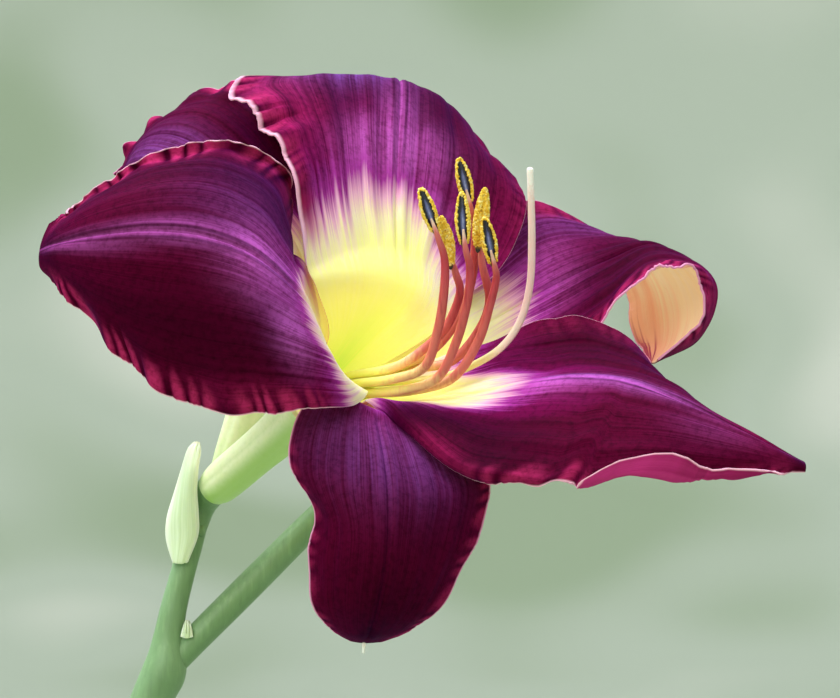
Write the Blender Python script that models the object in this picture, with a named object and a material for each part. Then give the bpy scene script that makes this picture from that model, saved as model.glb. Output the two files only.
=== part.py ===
"""A daylily bloom on its cut scape, with two closed buds, standing in a plain vase of water.

The vase stands on the origin, +Z up. The bloom leans out to the right (+X) and toward the front (-Y).
Sizes here are millimetres, and mesh_object and sweep turn them into Blender's metres.
"""

import math

import bmesh
import bpy
import numpy as np

METRES = 0.001

# Vase: a thrown and glazed bottle with a solid flat foot.
# The outline is its radius and height from the foot to the rim.
VASE_OUTLINE = (
    (25.5, 0),
    (27.5, 2.5),
    (32.5, 20),
    (35.5, 48),
    (32, 82),
    (22, 113),
    (16.6, 134),
    (16.4, 148),
    (18.6, 156.6),
)
VASE_STEPS = 15
VASE_WALL = 3.8
VASE_FLOOR = 6.0
VASE_FLOOR_ROUND = 4.0
VASE_FLOOR_BEVEL = 3.0
VASE_LIP_RISE = 1.4
VASE_LIP_OUTER = 0.8
VASE_LIP_INNER = 0.9
VASE_SIDES = 32
WATER_LEVEL = 96.0
WATER_EDGE = 0.4
GAP = 0.3
# The stem's hole in the water: extra room beyond the gap, and how far the cut runs on past the stem's foot.
STEM_HOLE_ROOM = 0.15
STEM_HOLE_RUN = 0.4

# The middle of the bloom above the vase's foot, and the bloom's own axis.
BLOOM_MIDDLE = (69.0, -39.0, 268.0)
AXIS_RISE = math.radians(40)
AXIS_FORWARD = math.radians(42)
THROAT = np.array((-15.0, -7.6, -20.0))
TUBE_LENGTH = 28.0
# The tube's radius along the axis, counted back from the throat.
TUBE_WIDTHS = ((-TUBE_LENGTH, 2.6), (-25, 3.2), (-15, 3.35), (-8, 3.8), (-3, 4.7), (-0.5, 5.3))

# Blades: thickness at the middle, the share of it left at the margin, and the grid of the sheet.
BLADE_THICKNESS = 0.85
MARGIN_SHARE = 0.72
PETAL_GRID = (36, 10)
SEPAL_GRID = (24, 8)

# Waved margins: they fill the outer part of the blade's half width, and grow in just above the funnel.
RUFFLE_BAND = 0.62
RUFFLE_START = 0.32
RUFFLE_RISE = 0.15
RUFFLE_TIP = 0.1
RUFFLE_DRIFT = 0.8
RUFFLE_DRIFT_PACE = 0.37
RUFFLE_SHIFT = 0.9
SIDES_APART = 2.1

# The funnel of the bloom: distance along the axis, radius and half angle of each whorl's blades.
PETAL_FUNNEL = ((0.0, 3.4, 50), (9.0, 6.2, 50), (18.0, 10.3, 48))
SEPAL_FUNNEL = ((0.0, 4.8, 48), (9.0, 7.75, 48), (17.5, 12.3, 48))

# Blades beyond the funnel, row by row out to the tip: one margin, the rib and the other margin.
# Each point is given to the right, upward and toward the front of the bloom's middle. A blade that
# opens early shares fewer of the funnel's rows, and a calm one is ruffled only from farther along.
# A dish is a hollow beside the rib: how deep, and where along the blade it starts, is full, is still
# full and ends.
PETAL_LEFT = {
    "turn": 60,
    "funnel": 2,
    "ruffle": 0.7,
    "waves": 9,
    "rows": (
        ((-16.2, 11.5, -7.4), (-15.5, 1.15, 1.0), (-7.6, -6.1, -0.6)),
        ((-19.4, 14.7, -10.3), (-15.5, 5.2, 6.5), (-9.5, -8, 5)),
        ((-18.6, 20, -11.5), (-18.4, 9, 10), (-14.5, -8.3, 9.5)),
        ((-20.2, 26, -10.5), (-24, 13.5, 12), (-21, -9, 11)),
        ((-27, 29.5, -4), (-31, 16, 12), (-28, -9, 10)),
        ((-35.5, 28.5, -1), (-38.5, 16.6, 11), (-35.5, -6.5, 9)),
        ((-43.5, 24.5, -1), (-46, 16, 8), (-42.5, -1, 7)),
        ((-49.5, 20, -1), (-51.5, 15, 4), (-49, 6.5, 4)),
        ((-53, 17.8, 0), (-54.2, 14, 1), (-54, 11, 1)),
    ),
}
PETAL_TOP = {
    "turn": 300,
    "funnel": 2,
    "calm": 0.55,
    "ruffle": 0.9,
    "waves": 8,
    "rows": (
        ((2.1, 2.4, -14.8), (-3.7, 8.6, -14.1), (-14.8, 8.5, -5.4)),
        ((5.5, 6.8, -19), (-3.5, 15, -17.5), (-16.3, 12, -5.2)),
        ((11.5, 11.5, -24.5), (-3.6, 21, -20.5), (-17.1, 18, -6.7)),
        ((14.8, 17.5, -29.5), (-3.4, 27, -24), (-18.3, 24.5, -7.7)),
        ((15.6, 23, -34.5), (-3.2, 32.3, -28), (-20, 29, -9.5)),
        ((12.5, 26.8, -40), (-3, 36.2, -33), (-23.5, 33, -12)),
        ((8, 31, -46), (-3, 38.8, -39.5), (-26.5, 39, -17)),
        ((3, 33.5, -51), (-3.5, 37, -47), (-22, 40.3, -27)),
        ((-1.5, 32, -54), (-3.5, 33, -54), (-7, 34, -52)),
    ),
}
PETAL_RIGHT = {
    "turn": 180,
    "ruffle": 0.7,
    "waves": 8,
    "spans": (53, 48),
    "dish": (3.0, (0.3, 0.42, 0.56, 0.72)),
    "rows": (
        ((-1, -10.3, 3.5), (8, -6.5, -3), (10.5, 1, -15)),
        ((6, -16, 10), (15, -4.9, 1), (16.5, 3.8, -14)),
        ((14, -17.4, 15), (22, -4, 5), (22.5, 4.6, -12)),
        ((22, -18.7, 18), (29, -4.6, 8.5), (29, 2.4, -8)),
        ((30, -17.6, 19.5), (36, -7.2, 11.5), (35, -5.6, -1.5)),
        ((39, -18, 19), (42.5, -10.2, 13.5), (40, -12.5, 4)),
        ((47.5, -17.2, 17), (48.5, -13.2, 14.5), (46, -14, 9.5)),
        ((54, -17.2, 15.5), (54, -16.2, 15), (53.5, -15.8, 13.5)),
    ),
}
SEPAL_LEFT = {
    "turn": 0,
    "funnel": 2,
    "ruffle": 0.5,
    "waves": 7,
    "rows": (
        ((-7.6, 10, -17.2), (-16.4, 9.8, -10.9), (-18.7, 4.6, -4.3)),
        ((-12, 18, -20), (-18.5, 16, -14), (-20.5, 12, -8)),
        ((-16, 26, -25), (-24, 22, -16.5), (-27, 16.5, -9)),
        ((-21, 33, -28), (-29.5, 27, -17), (-33.5, 20, -9)),
        ((-27, 37.5, -31), (-34, 30.5, -19), (-38.5, 22, -11)),
        ((-33, 36, -33), (-38, 31.5, -22.5), (-42, 23, -14.5)),
        ((-38, 33.3, -35), (-41, 30.5, -27), (-44, 23.5, -20)),
        ((-42, 30, -36), (-43, 28, -31.5), (-45, 24, -27)),
        ((-44, 25.5, -36.5), (-44, 25, -35), (-44.5, 24, -34)),
    ),
}
SEPAL_RIGHT = {
    "turn": 240,
    "ruffle": 0.3,
    "waves": 7,
    "rows": (
        ((12, -3, -19.6), (12, 4.9, -26.3), (7, 14.4, -30.3)),
        ((20, -0.5, -20), (20, 9.5, -29.5), (15.5, 22, -37.5)),
        ((26, 3, -18), (27.5, 13, -29), (23, 19.5, -40)),
        ((31, 9.5, -17), (34.5, 15.3, -31), (28.5, 14, -42)),
        ((37, 12.2, -18), (40.3, 12, -31.5), (31, 8, -40)),
        ((41, 10.5, -20), (42.8, 6.8, -30), (31.5, 3, -36)),
        ((40.8, 4, -21), (40.3, 1.2, -27), (32.8, 0, -30)),
        ((35, -1.5, -21.5), (34.5, -2, -23), (34, -2, -24)),
    ),
}
SEPAL_BOTTOM = {
    "turn": 120,
    "funnel": 2,
    "ruffle": 0.2,
    "waves": 6,
    "rows": (
        ((-13.2, -4.2, 2.2), (-6.6, -8.8, -0.2), (1.4, -9.6, -6.4)),
        ((-15.5, -6.5, 1.5), (-6, -11, 3), (4.5, -12, -4)),
        ((-18, -11, 5), (-5, -16, 9), (8, -16, -0.5)),
        ((-18.3, -16, 9.5), (-4.5, -20.5, 14), (9.9, -19.7, 4)),
        ((-15, -22.5, 11), (-4.5, -26, 16), (8.8, -25, 7.5)),
        ((-15.6, -28.5, 11.5), (-5, -31.5, 16), (6, -31, 9.5)),
        ((-15.4, -34.8, 11), (-6, -36.5, 14), (2.5, -36.8, 10)),
        ((-12.2, -39.3, 9), (-7, -39.4, 10.5), (-2.5, -39.8, 9)),
        ((-8.5, -40.9, 7.5), (-7.7, -41.1, 7.5), (-6.9, -40.9, 7.5)),
    ),
}

# Stamens: where each filament leaves the ring in the throat, then its way up into the light.
FILAMENT_RADIUS = 0.6
FILAMENT_TIP_RADIUS = 0.38
STAMEN_RING = 1.75
BUNDLE_LOW = (-9.2, -5.3, -12.8)
BUNDLE_HIGH = (-2.6, -4.4, -6.0)
LIFT_WAY = (-0.3, 1.0, -0.3)
STAMENS = (
    {
        "turn": 60,
        "spread": 2.1,
        "filament": (
            (0.6, -2.6, -0.6),
            (2.5, 2.5, 0.8),
            (3.4, 8, 1.6),
            (3.5, 12.7, 2.0),
            (2.7, 16.2, 2.3),
        ),
        "anther": ((2.4, 16.2, 3.2), (0.1, 22.9, 3.8)),
    },
    {
        "turn": 0,
        "spread": 2.1,
        "filament": (
            (0.8, 0.2, -5.2),
            (3.9, 3.4, -4.2),
            (5.7, 8.0, -3.4),
            (5.6, 11.0, -2.8),
        ),
        "anther": ((4.6, 11.4, -2.2), (3.2, 19, -1.6)),
    },
    {
        "turn": 300,
        "spread": 3.0,
        "filament": (
            (2.2, 0.2, -8.4),
            (5.8, 5.0, -7.8),
            (7.6, 11, -6.6),
            (7.9, 17, -5.6),
            (7.4, 20.6, -5),
        ),
        "anther": ((7.2, 20.4, -4), (5.6, 27.4, -3.4)),
    },
    {
        "turn": 120,
        "spread": 2.1,
        "filament": (
            (2.4, -4.2, -1.6),
            (5.1, 0.8, -0.4),
            (6.8, 7, 0.6),
            (7.1, 11.6, 1.2),
            (6.7, 14.8, 1.6),
        ),
        "anther": ((6.3, 14.2, 2.5), (5.9, 22.3, 3.1)),
    },
    {
        "turn": 240,
        "spread": 3.0,
        "lift": 1.5,
        "filament": (
            (4.6, -1.7, -7.6),
            (8.4, 2.5, -6.8),
            (10.0, 7, -5.8),
            (9.7, 11.2, -5.0),
        ),
        "anther": ((8.2, 13.8, -3.7), (9.3, 23.1, -3.1)),
    },
    {
        "turn": 180,
        "spread": 2.1,
        "filament": (
            (4.6, -4.2, -3.2),
            (8.2, 0.8, -2.6),
            (10, 6.2, -2.0),
            (10.9, 10.0, -1.5),
            (10.8, 12.4, -1.2),
        ),
        "anther": ((10.6, 11.6, -0.3), (9.2, 18.8, 0.3)),
    },
)
# A sac's cross-section, one half of it going round, in shares of the half width and half depth.
ANTHER_HALF_WIDTH = 1.0
ANTHER_HALF_DEPTH = 0.62
ANTHER_LOBES = ((1, 0), (0.72, 0.8), (0.25, 0.85), (0, 0.55), (-0.25, 0.85), (-0.72, 0.8))
ANTHER_RINGS = 8
ANTHER_END_SHARE = 0.25
ANTHER_BLUNTNESS = 0.45
STYLE_RADIUS = 0.54
STYLE_WAY = (
    (-9.2, -5.3, -12.8),
    (-2.6, -4.7, -8.4),
    (3.6, -3.9, -7.4),
    (9.4, -1.4, -5.9),
    (12.6, 1.2, -4.9),
    (14.7, 4.8, -3.8),
    (15.8, 9.6, -2.6),
    (16, 15, -1.2),
    (15.9, 20.5, 0),
    (15.7, 25.6, 1),
)

# Scape: stretches inside and just above the vase, as distance right of and above the foot's centre.
SCAPE_SIDES = 10
BRANCH_SIDES = 8
SCAPE_IN_VASE = (
    (-16.4, 6.9, 3.3),
    (-8.2, 55, 3.3),
    (0.6, 105, 3.2),
    (9.4, 152, 3.2),
    (17.8, 188, 3.15),
    (28.2, 214, 3.15),
)
# Above, from the fork to the tube: right, up and front of the bloom's middle, and radius.
SCAPE_ABOVE = (
    (-38.3, -48.2, -39, 3.3),
    (-37.7, -43.4, -39, 2.35),
    (-36.9, -38.8, -39, 2.0),
    (-35.4, -33, -39.3, 1.85),
    (-34.6, -29.6, -39.9, 1.95),
    (-34.0, -26.8, -40.5, 2.05),
    (-33.59, -25.13, -40.78, 2.15),
    (-33.23, -24.03, -40.8, 2.25),
    (-32.74, -23.01, -40.56, 2.35),
    (-32.15, -22.13, -40.09, 2.45),
)
PEDICEL_RADIUS = 2.45
PEDICEL_STRAIGHT = (0.7, 0.0)
BRANCH_WAY = (
    (-36.8, -47, -39, 1.9),
    (-33.2, -43.1, -39.2, 2.1),
    (-28.6, -38.5, -39.8, 2.15),
    (-24.1, -34.0, -40.4, 2.15),
    (-19.6, -29.5, -41, 2.1),
    (-15.8, -25.7, -41.5, 2.0),
    (-12.3, -22.2, -42, 1.85),
)
SIDE_PEDICEL_WAY = (
    (-33.4, -27.6, -39.4, 1.2),
    (-32.4, -24.6, -41.6, 1.3),
    (-31.1, -21.6, -43.4, 1.4),
)
SIDE_BUD_WAY = (
    (-30.93, -21.1, -43.68, 1.4),
    (-29.0, -16.6, -45.1, 2.3),
    (-26.4, -10, -45.5, 3.0),
    (-24, -2, -46.5, 3.5),
    (-22.2, 5, -47, 3.1),
    (-21.2, 10.5, -47, 1.7),
    (-20.8, 12.6, -47, 0.5),
)
BRANCH_BUD_WAY = (
    (-12.03, -21.93, -42.05, 1.85),
    (-9.2, -18.8, -42.6, 2.6),
    (-5.4, -15.0, -43.2, 3.1),
    (-1.8, -11.5, -43.7, 2.6),
    (0.6, -9.2, -44, 1.5),
    (1.6, -8.2, -44.1, 0.5),
)
BRACT_ROWS = (
    ((-37.7, -31.6, -39.0), (-35.7, -31.7, -36.6), (-33.8, -31.3, -37.2)),
    ((-38.0, -28.5, -38.9), (-35.2, -28.0, -36.6), (-33.2, -27.8, -37.0)),
    ((-37.9, -25.3, -39.1), (-35.2, -24.9, -36.5), (-33.1, -24.6, -36.6)),
    ((-36.8, -21.5, -39.4), (-35.0, -21.3, -36.2), (-33.3, -21.3, -36.0)),
    ((-35.8, -18.2, -39.5), (-34.6, -18.1, -36.3), (-33.1, -18, -36.0)),
    ((-34.9, -15.4, -39.4), (-34.0, -15.2, -37.6), (-32.8, -15.4, -37.6)),
    ((-34.0, -14.2, -39.2), (-33.5, -14.1, -39.0), (-33.0, -14.2, -39.1)),
)
SCALE_ROWS = (
    ((-35.8, -43.0, -36.85), (-34.9, -43.2, -36.8), (-33.9, -43.0, -36.7)),
    ((-35.5, -41.9, -37.1), (-34.8, -41.8, -36.7), (-34.1, -41.9, -36.8)),
    ((-35.1, -40.9, -37.5), (-34.8, -40.7, -37.3), (-34.5, -40.9, -37.3)),
)
SMALL_BLADE_THICKNESS = 0.62
BRACT_GRID = (9, 6)
SCALE_GRID = (3, 4)

# Round bodies: sides for each kind, and rings for each stretch between two points of a path.
TUBE_SIDES = 12
THREAD_SIDES = 6
BUD_SIDES = 8
STEM_RINGS = 3
TUBE_RINGS = 2
BUD_RINGS = 2

AXIS = np.array(
    (
        math.cos(AXIS_RISE) * math.cos(AXIS_FORWARD),
        math.sin(AXIS_RISE) * math.cos(AXIS_FORWARD),
        math.sin(AXIS_FORWARD),
    )
)
ACROSS_UP = np.array((-math.sin(AXIS_RISE), math.cos(AXIS_RISE), 0.0))
ACROSS_FRONT = np.cross(AXIS, ACROSS_UP)


def remove_objects():
    for obj in list(bpy.data.objects):
        bpy.data.objects.remove(obj, do_unlink=True)


def finish(name, colour, roughness):
    """A material with one Principled BSDF."""
    material = bpy.data.materials.new(name)
    material.use_nodes = True
    shader = material.node_tree.nodes["Principled BSDF"]
    shader.inputs["Base Color"].default_value = (*colour, 1.0)
    shader.inputs["Roughness"].default_value = roughness
    shader.inputs["Metallic"].default_value = 0.0
    return material


def from_bloom(points):
    """Points given right, up and front of the bloom's middle, as world x, y and z."""
    points = np.asarray(points, float)
    return np.stack((points[..., 0], -points[..., 2], points[..., 1]), axis=-1) + np.array(BLOOM_MIDDLE)


def around_axis(along, radius, turn):
    """A point of the bloom at a distance along its axis, a radius and a turn about it in degrees."""
    angle = math.radians(turn)
    return THROAT + along * AXIS + radius * (math.cos(angle) * ACROSS_UP + math.sin(angle) * ACROSS_FRONT)


def curve_at(points, at):
    """The smooth curve through points or rows of points (Catmull-Rom), read at places counted in points."""
    points = np.asarray(points, float)
    ends = (2 * points[0] - points[1], 2 * points[-1] - points[-2])
    padded = np.concatenate((ends[0][None], points, ends[1][None]))
    index = np.clip(np.floor(at).astype(int), 0, len(points) - 2)
    step = (at - index).reshape((-1,) + (1,) * (points.ndim - 1))
    before, start, end, after = (padded[index + offset] for offset in range(4))
    bend = 2 * before - 5 * start + 4 * end - after
    twist = 3 * start - before - 3 * end + after
    return 0.5 * (2 * start + (end - before) * step + bend * step**2 + twist * step**3)


def ease(value):
    value = np.clip(value, 0, 1)
    return value * value * (3 - 2 * value)


def sheet_points(rows, along, across):
    """A grid of points on the sheet whose cross-sections are parabolas through each row's three points."""
    low, rib, high = np.moveaxis(curve_at(rows, along * (len(rows) - 1)), 1, 0)
    side = across[None, :, None]
    straight = ((high - low) / 2)[:, None]
    cup = ((low + high) / 2 - rib)[:, None]
    return rib[:, None] + side * straight + side**2 * cup


def sheet_normals(points):
    normals = np.cross(np.gradient(points, axis=0), np.gradient(points, axis=1))
    return normals / np.linalg.norm(normals, axis=2, keepdims=True)


def dished(points, dish, along, across):
    """The sheet with its second half sunk between the rib and the margin."""
    depth, (start, full, still, end) = dish
    hollow = depth * ease((along - start) / (full - start)) * ease((end - along) / (end - still))
    inside = np.clip(across, 0, 1)
    sunk = hollow * 4 * inside * (1 - inside)
    return points - sheet_normals(points) * sunk[..., None]


def ruffle(blade, along, across):
    """How far the waved margins stand off the smooth sheet."""
    band = ease((np.abs(across) - RUFFLE_BAND) / (1 - RUFFLE_BAND))
    grow = ease((along - blade.get("calm", RUFFLE_START)) / RUFFLE_RISE)
    grow = grow * (1 - 0.5 * ease((along - 1 + RUFFLE_TIP) / RUFFLE_TIP))
    turn = 2 * math.pi * blade["waves"] * along + RUFFLE_SHIFT * blade["turn"]
    turn = turn + np.where(across > 0, SIDES_APART, 0.0)
    return blade["ruffle"] * grow * band * np.sin(turn + RUFFLE_DRIFT * np.sin(RUFFLE_DRIFT_PACE * turn))


def mesh_object(name, points, faces, material):
    """A mesh from world points in millimetres, its faces turned outward."""
    mesh = bpy.data.meshes.new(name)
    mesh.from_pydata((np.asarray(points) * METRES).tolist(), [], faces)
    work = bmesh.new()
    work.from_mesh(mesh)
    bmesh.ops.recalc_face_normals(work, faces=work.faces)
    work.to_mesh(mesh)
    work.free()
    mesh.shade_smooth()
    mesh.materials.append(material)
    obj = bpy.data.objects.new(name, mesh)
    bpy.context.scene.collection.objects.link(obj)
    return obj


def blade_object(name, points, thickness, margin_share, material):
    """A sheet of triangles given its thickness by Solidify, thinner along its margins and tip."""
    rows, columns = points.shape[:2]
    faces = []
    for i in range(rows - 1):
        for j in range(columns - 1):
            a = i * columns + j
            b = a + columns
            faces.append((a, b, b + 1))
            faces.append((a, b + 1, a + 1))
    obj = mesh_object(name, from_bloom(points.reshape(-1, 3)), faces, material)
    group = obj.vertex_groups.new(name="thickness")
    across = np.abs(np.linspace(-1, 1, columns))
    for i in range(rows):
        toward_tip = i / (rows - 1)
        for j in range(columns):
            edge = max(across[j] ** 3, toward_tip**6)
            group.add([i * columns + j], 1 - edge * (1 - margin_share), "REPLACE")
    solidify = obj.modifiers.new("thickness", "SOLIDIFY")
    solidify.thickness = thickness * METRES
    solidify.offset = 0
    solidify.vertex_group = "thickness"
    solidify.thickness_vertex_group = 0.0
    return obj


def tepal(name, blade, funnel, grid, material):
    """One petal or sepal: the blade seen in the light, and below it its stretch of the funnel."""
    rows = []
    for along, radius, half in funnel[: blade.get("funnel", len(funnel))]:
        low, high = blade.get("spans", (half, half))
        turns = (blade["turn"] - low, blade["turn"], blade["turn"] + high)
        rows.append([around_axis(along, radius, turn) for turn in turns])
    rows.extend(blade["rows"])
    along = np.linspace(0, 1, grid[0] + 1)
    across = np.sin(np.linspace(-1, 1, grid[1] + 1) * math.pi / 2)
    points = sheet_points(np.array(rows, float), along, across)
    if "dish" in blade:
        points = dished(points, blade["dish"], along[:, None], across[None, :])
    wave = ruffle(blade, along[:, None], across[None, :])
    points = points + sheet_normals(points) * wave[..., None]
    return blade_object(name, points, BLADE_THICKNESS, MARGIN_SHARE, material)


def frames_along(way):
    """Two directions across a path at each of its points, carried along it without twist."""
    tangents = np.gradient(way, axis=0)
    tangents /= np.linalg.norm(tangents, axis=1, keepdims=True)
    side = np.cross(tangents[0], (0.31, 0.85, 0.42))
    sides = []
    for tangent in tangents:
        side = side - tangent * (side @ tangent)
        side = side / np.linalg.norm(side)
        sides.append(side)
    sides = np.array(sides)
    return sides, np.cross(tangents, sides)


def loft(name, rings, material):
    """A closed body through rings of points, with a flat cap on each end."""
    rings = np.asarray(rings)
    count, sides = rings.shape[:2]
    faces = [tuple(range(sides)), tuple(range((count - 1) * sides, count * sides))]
    for i in range(count - 1):
        for j in range(sides):
            k = (j + 1) % sides
            faces.append((i * sides + j, i * sides + k, (i + 1) * sides + k, (i + 1) * sides + j))
    return mesh_object(name, rings.reshape(-1, 3), faces, material)


def sweep(name, way, sides, rings, material, grow=0.0):
    """A round body along a smooth path of world points, each with its radius."""
    stretches = len(way) - 1
    way = curve_at(way, np.linspace(0, stretches, stretches * rings + 1))
    across, over = frames_along(way[:, :3])
    turns = np.arange(sides) * 2 * math.pi / sides
    circle = np.cos(turns)[None, :, None] * across[:, None] + np.sin(turns)[None, :, None] * over[:, None]
    radius = (way[:, 3] + grow)[:, None, None]
    return loft(name, way[:, None, :3] + radius * circle, material)


def with_radius(points, radii):
    return np.column_stack((points, radii))


def bloom_way(way):
    """A path given by the bloom's middle, with radii, as world points."""
    way = np.asarray(way, float)
    return with_radius(from_bloom(way[:, :3]), way[:, 3])


def scape_way():
    """The main stem, from its cut end on the vase's floor to the tube's foot."""
    low = np.array([(right, 0.0, up, radius) for right, up, radius in SCAPE_IN_VASE])
    ends = [THROAT - AXIS * (TUBE_LENGTH + GAP + back) for back in PEDICEL_STRAIGHT]
    high = bloom_way(SCAPE_ABOVE + tuple((*end, PEDICEL_RADIUS) for end in ends))
    return np.concatenate((low, high))


def join(name, pieces):
    """One body from overlapping ones: a Boolean union with a collection, applied."""
    rest = bpy.data.collections.new(name + "_pieces")
    bpy.context.scene.collection.children.link(rest)
    for piece in pieces[1:]:
        bpy.context.scene.collection.objects.unlink(piece)
        rest.objects.link(piece)
    union = pieces[0].modifiers.new("union", "BOOLEAN")
    union.operation = "UNION"
    union.solver = "EXACT"
    union.operand_type = "COLLECTION"
    union.collection = rest
    apply_modifiers(pieces[0])
    for piece in pieces[1:]:
        bpy.data.objects.remove(piece, do_unlink=True)
    bpy.data.collections.remove(rest)
    pieces[0].name = name
    return pieces[0]


def apply_modifiers(obj):
    graph = bpy.context.evaluated_depsgraph_get()
    mesh = bpy.data.meshes.new_from_object(obj.evaluated_get(graph))
    obj.modifiers.clear()
    obj.data = mesh


def scape(material):
    main = sweep("scape_main", scape_way(), SCAPE_SIDES, STEM_RINGS, material)
    branch = sweep("scape_branch", bloom_way(BRANCH_WAY), BRANCH_SIDES, BUD_RINGS, material)
    pedicel = sweep("scape_pedicel", bloom_way(SIDE_PEDICEL_WAY), BRANCH_SIDES, BUD_RINGS, material)
    return join("scape", (main, branch, pedicel))


def flower_tube(material):
    """The perianth tube, widening to the face that the tepals and stamens stand on."""
    way = [(*(THROAT + along * AXIS), radius) for along, radius in TUBE_WIDTHS]
    return sweep("flower_tube", bloom_way(way), TUBE_SIDES, TUBE_RINGS, material)


def style(material):
    points = np.array((tuple(THROAT),) + STYLE_WAY)
    way = with_radius(from_bloom(points), np.full(len(points), STYLE_RADIUS))
    return sweep("style", way, THREAD_SIDES, STEM_RINGS, material)


def filament(index, stamen, material):
    foot = around_axis(0, STAMEN_RING, stamen["turn"])
    out = foot - THROAT
    low = np.array(BUNDLE_LOW) + out
    high = np.array(BUNDLE_HIGH) + out * stamen["spread"] / STAMEN_RING
    high = high + stamen.get("lift", 0.0) * np.array(LIFT_WAY)
    points = np.array((foot, low, high) + tuple(np.array(point) for point in stamen["filament"]))
    radii = np.linspace(FILAMENT_RADIUS, FILAMENT_TIP_RADIUS, len(points))
    way = with_radius(from_bloom(points), radii)
    return sweep(f"filament_{index}", way, THREAD_SIDES, STEM_RINGS, material)


def anther(index, stamen, material):
    """A long pollen sac, its two lobes parted by a furrow down the front and the back."""
    foot, tip = (from_bloom(point) for point in stamen["anther"])
    length = tip - foot
    side = np.cross(length, (0.0, -1.0, 0.0))
    side = side / np.linalg.norm(side)
    depth = np.cross(side, length / np.linalg.norm(length))
    lobes = ANTHER_LOBES + tuple((-x, -y) for x, y in ANTHER_LOBES)
    outline = [ANTHER_HALF_WIDTH * x * side + ANTHER_HALF_DEPTH * y * depth for x, y in lobes]
    rings = []
    for step in np.linspace(0, 1, ANTHER_RINGS):
        full = max(math.sin(math.pi * step) ** ANTHER_BLUNTNESS if 0 < step < 1 else 0, ANTHER_END_SHARE)
        rings.append([foot + step * length + full * point for point in outline])
    return loft(f"anther_{index}", rings, material)


def small_blade(name, rows, grid, material):
    along = np.linspace(0, 1, grid[0] + 1)
    across = np.linspace(-1, 1, grid[1] + 1)
    points = sheet_points(np.array(rows, float), along, across)
    return blade_object(name, points, SMALL_BLADE_THICKNESS, 1.0, material)


def vase_outer():
    """Radius and height up the outside of the vase."""
    return curve_at(VASE_OUTLINE, np.linspace(0, len(VASE_OUTLINE) - 1, VASE_STEPS))


def turned(name, outline, material):
    """A closed body turned about the vase's axis; its outline of radii and heights ends on that axis."""
    turns = np.arange(VASE_SIDES) * 2 * math.pi / VASE_SIDES
    circle = np.stack((np.cos(turns), np.sin(turns)), axis=1)
    points = [(0.0, 0.0, outline[0][1])]
    for radius, height in outline[1:-1]:
        points.extend((radius * x, radius * y, height) for x, y in circle)
    points.append((0.0, 0.0, outline[-1][1]))
    last = len(points) - 1
    rings = len(outline) - 2
    faces = []
    for j in range(VASE_SIDES):
        k = (j + 1) % VASE_SIDES
        faces.append((0, 1 + k, 1 + j))
        top = 1 + (rings - 1) * VASE_SIDES
        faces.append((top + j, top + k, last))
        for i in range(rings - 1):
            a = 1 + i * VASE_SIDES
            b = a + VASE_SIDES
            faces.append((a + j, a + k, b + k, b + j))
    return mesh_object(name, points, faces, material)


def vase(material):
    outer = vase_outer()
    rim_radius, rim_height = outer[-1]
    lip = (
        (rim_radius - VASE_LIP_OUTER, rim_height + VASE_LIP_RISE),
        (rim_radius - VASE_WALL + VASE_LIP_INNER, rim_height + VASE_LIP_RISE),
    )
    inner = [(r - VASE_WALL, z) for r, z in outer[::-1] if z > VASE_FLOOR + VASE_FLOOR_ROUND]
    floor_edge = (inner[-1][0] - VASE_FLOOR_BEVEL, VASE_FLOOR)
    outline = [(0.0, 0.0), *outer, *lip, *inner, floor_edge, (0.0, VASE_FLOOR)]
    return turned("vase", outline, material)


def water(material):
    """The water, clear of the vase's wall by the gap, with a plain hole for the stem."""
    outer = vase_outer()
    lowest = VASE_FLOOR + VASE_FLOOR_ROUND
    wall = [(r - VASE_WALL - GAP, z) for r, z in outer if lowest < z < WATER_LEVEL - VASE_FLOOR_ROUND]
    floor_edge = (wall[0][0] - VASE_FLOOR_BEVEL, VASE_FLOOR + GAP)
    level = np.interp(WATER_LEVEL, outer[:, 1], outer[:, 0]) - VASE_WALL - GAP
    outline = [
        (0.0, VASE_FLOOR + GAP),
        floor_edge,
        *wall,
        (level - WATER_EDGE, WATER_LEVEL),
        (0.0, WATER_LEVEL),
    ]
    body = turned("water", outline, material)
    way = scape_way()[:5]
    way[0, :3] -= STEM_HOLE_RUN * (way[1, :3] - way[0, :3])
    cutter = sweep("stem_hole", way, SCAPE_SIDES, STEM_RINGS, material, grow=GAP + STEM_HOLE_ROOM)
    cut = body.modifiers.new("stem hole", "BOOLEAN")
    cut.operation = "DIFFERENCE"
    cut.solver = "EXACT"
    cut.object = cutter
    apply_modifiers(body)
    bpy.data.objects.remove(cutter, do_unlink=True)
    return body


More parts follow.
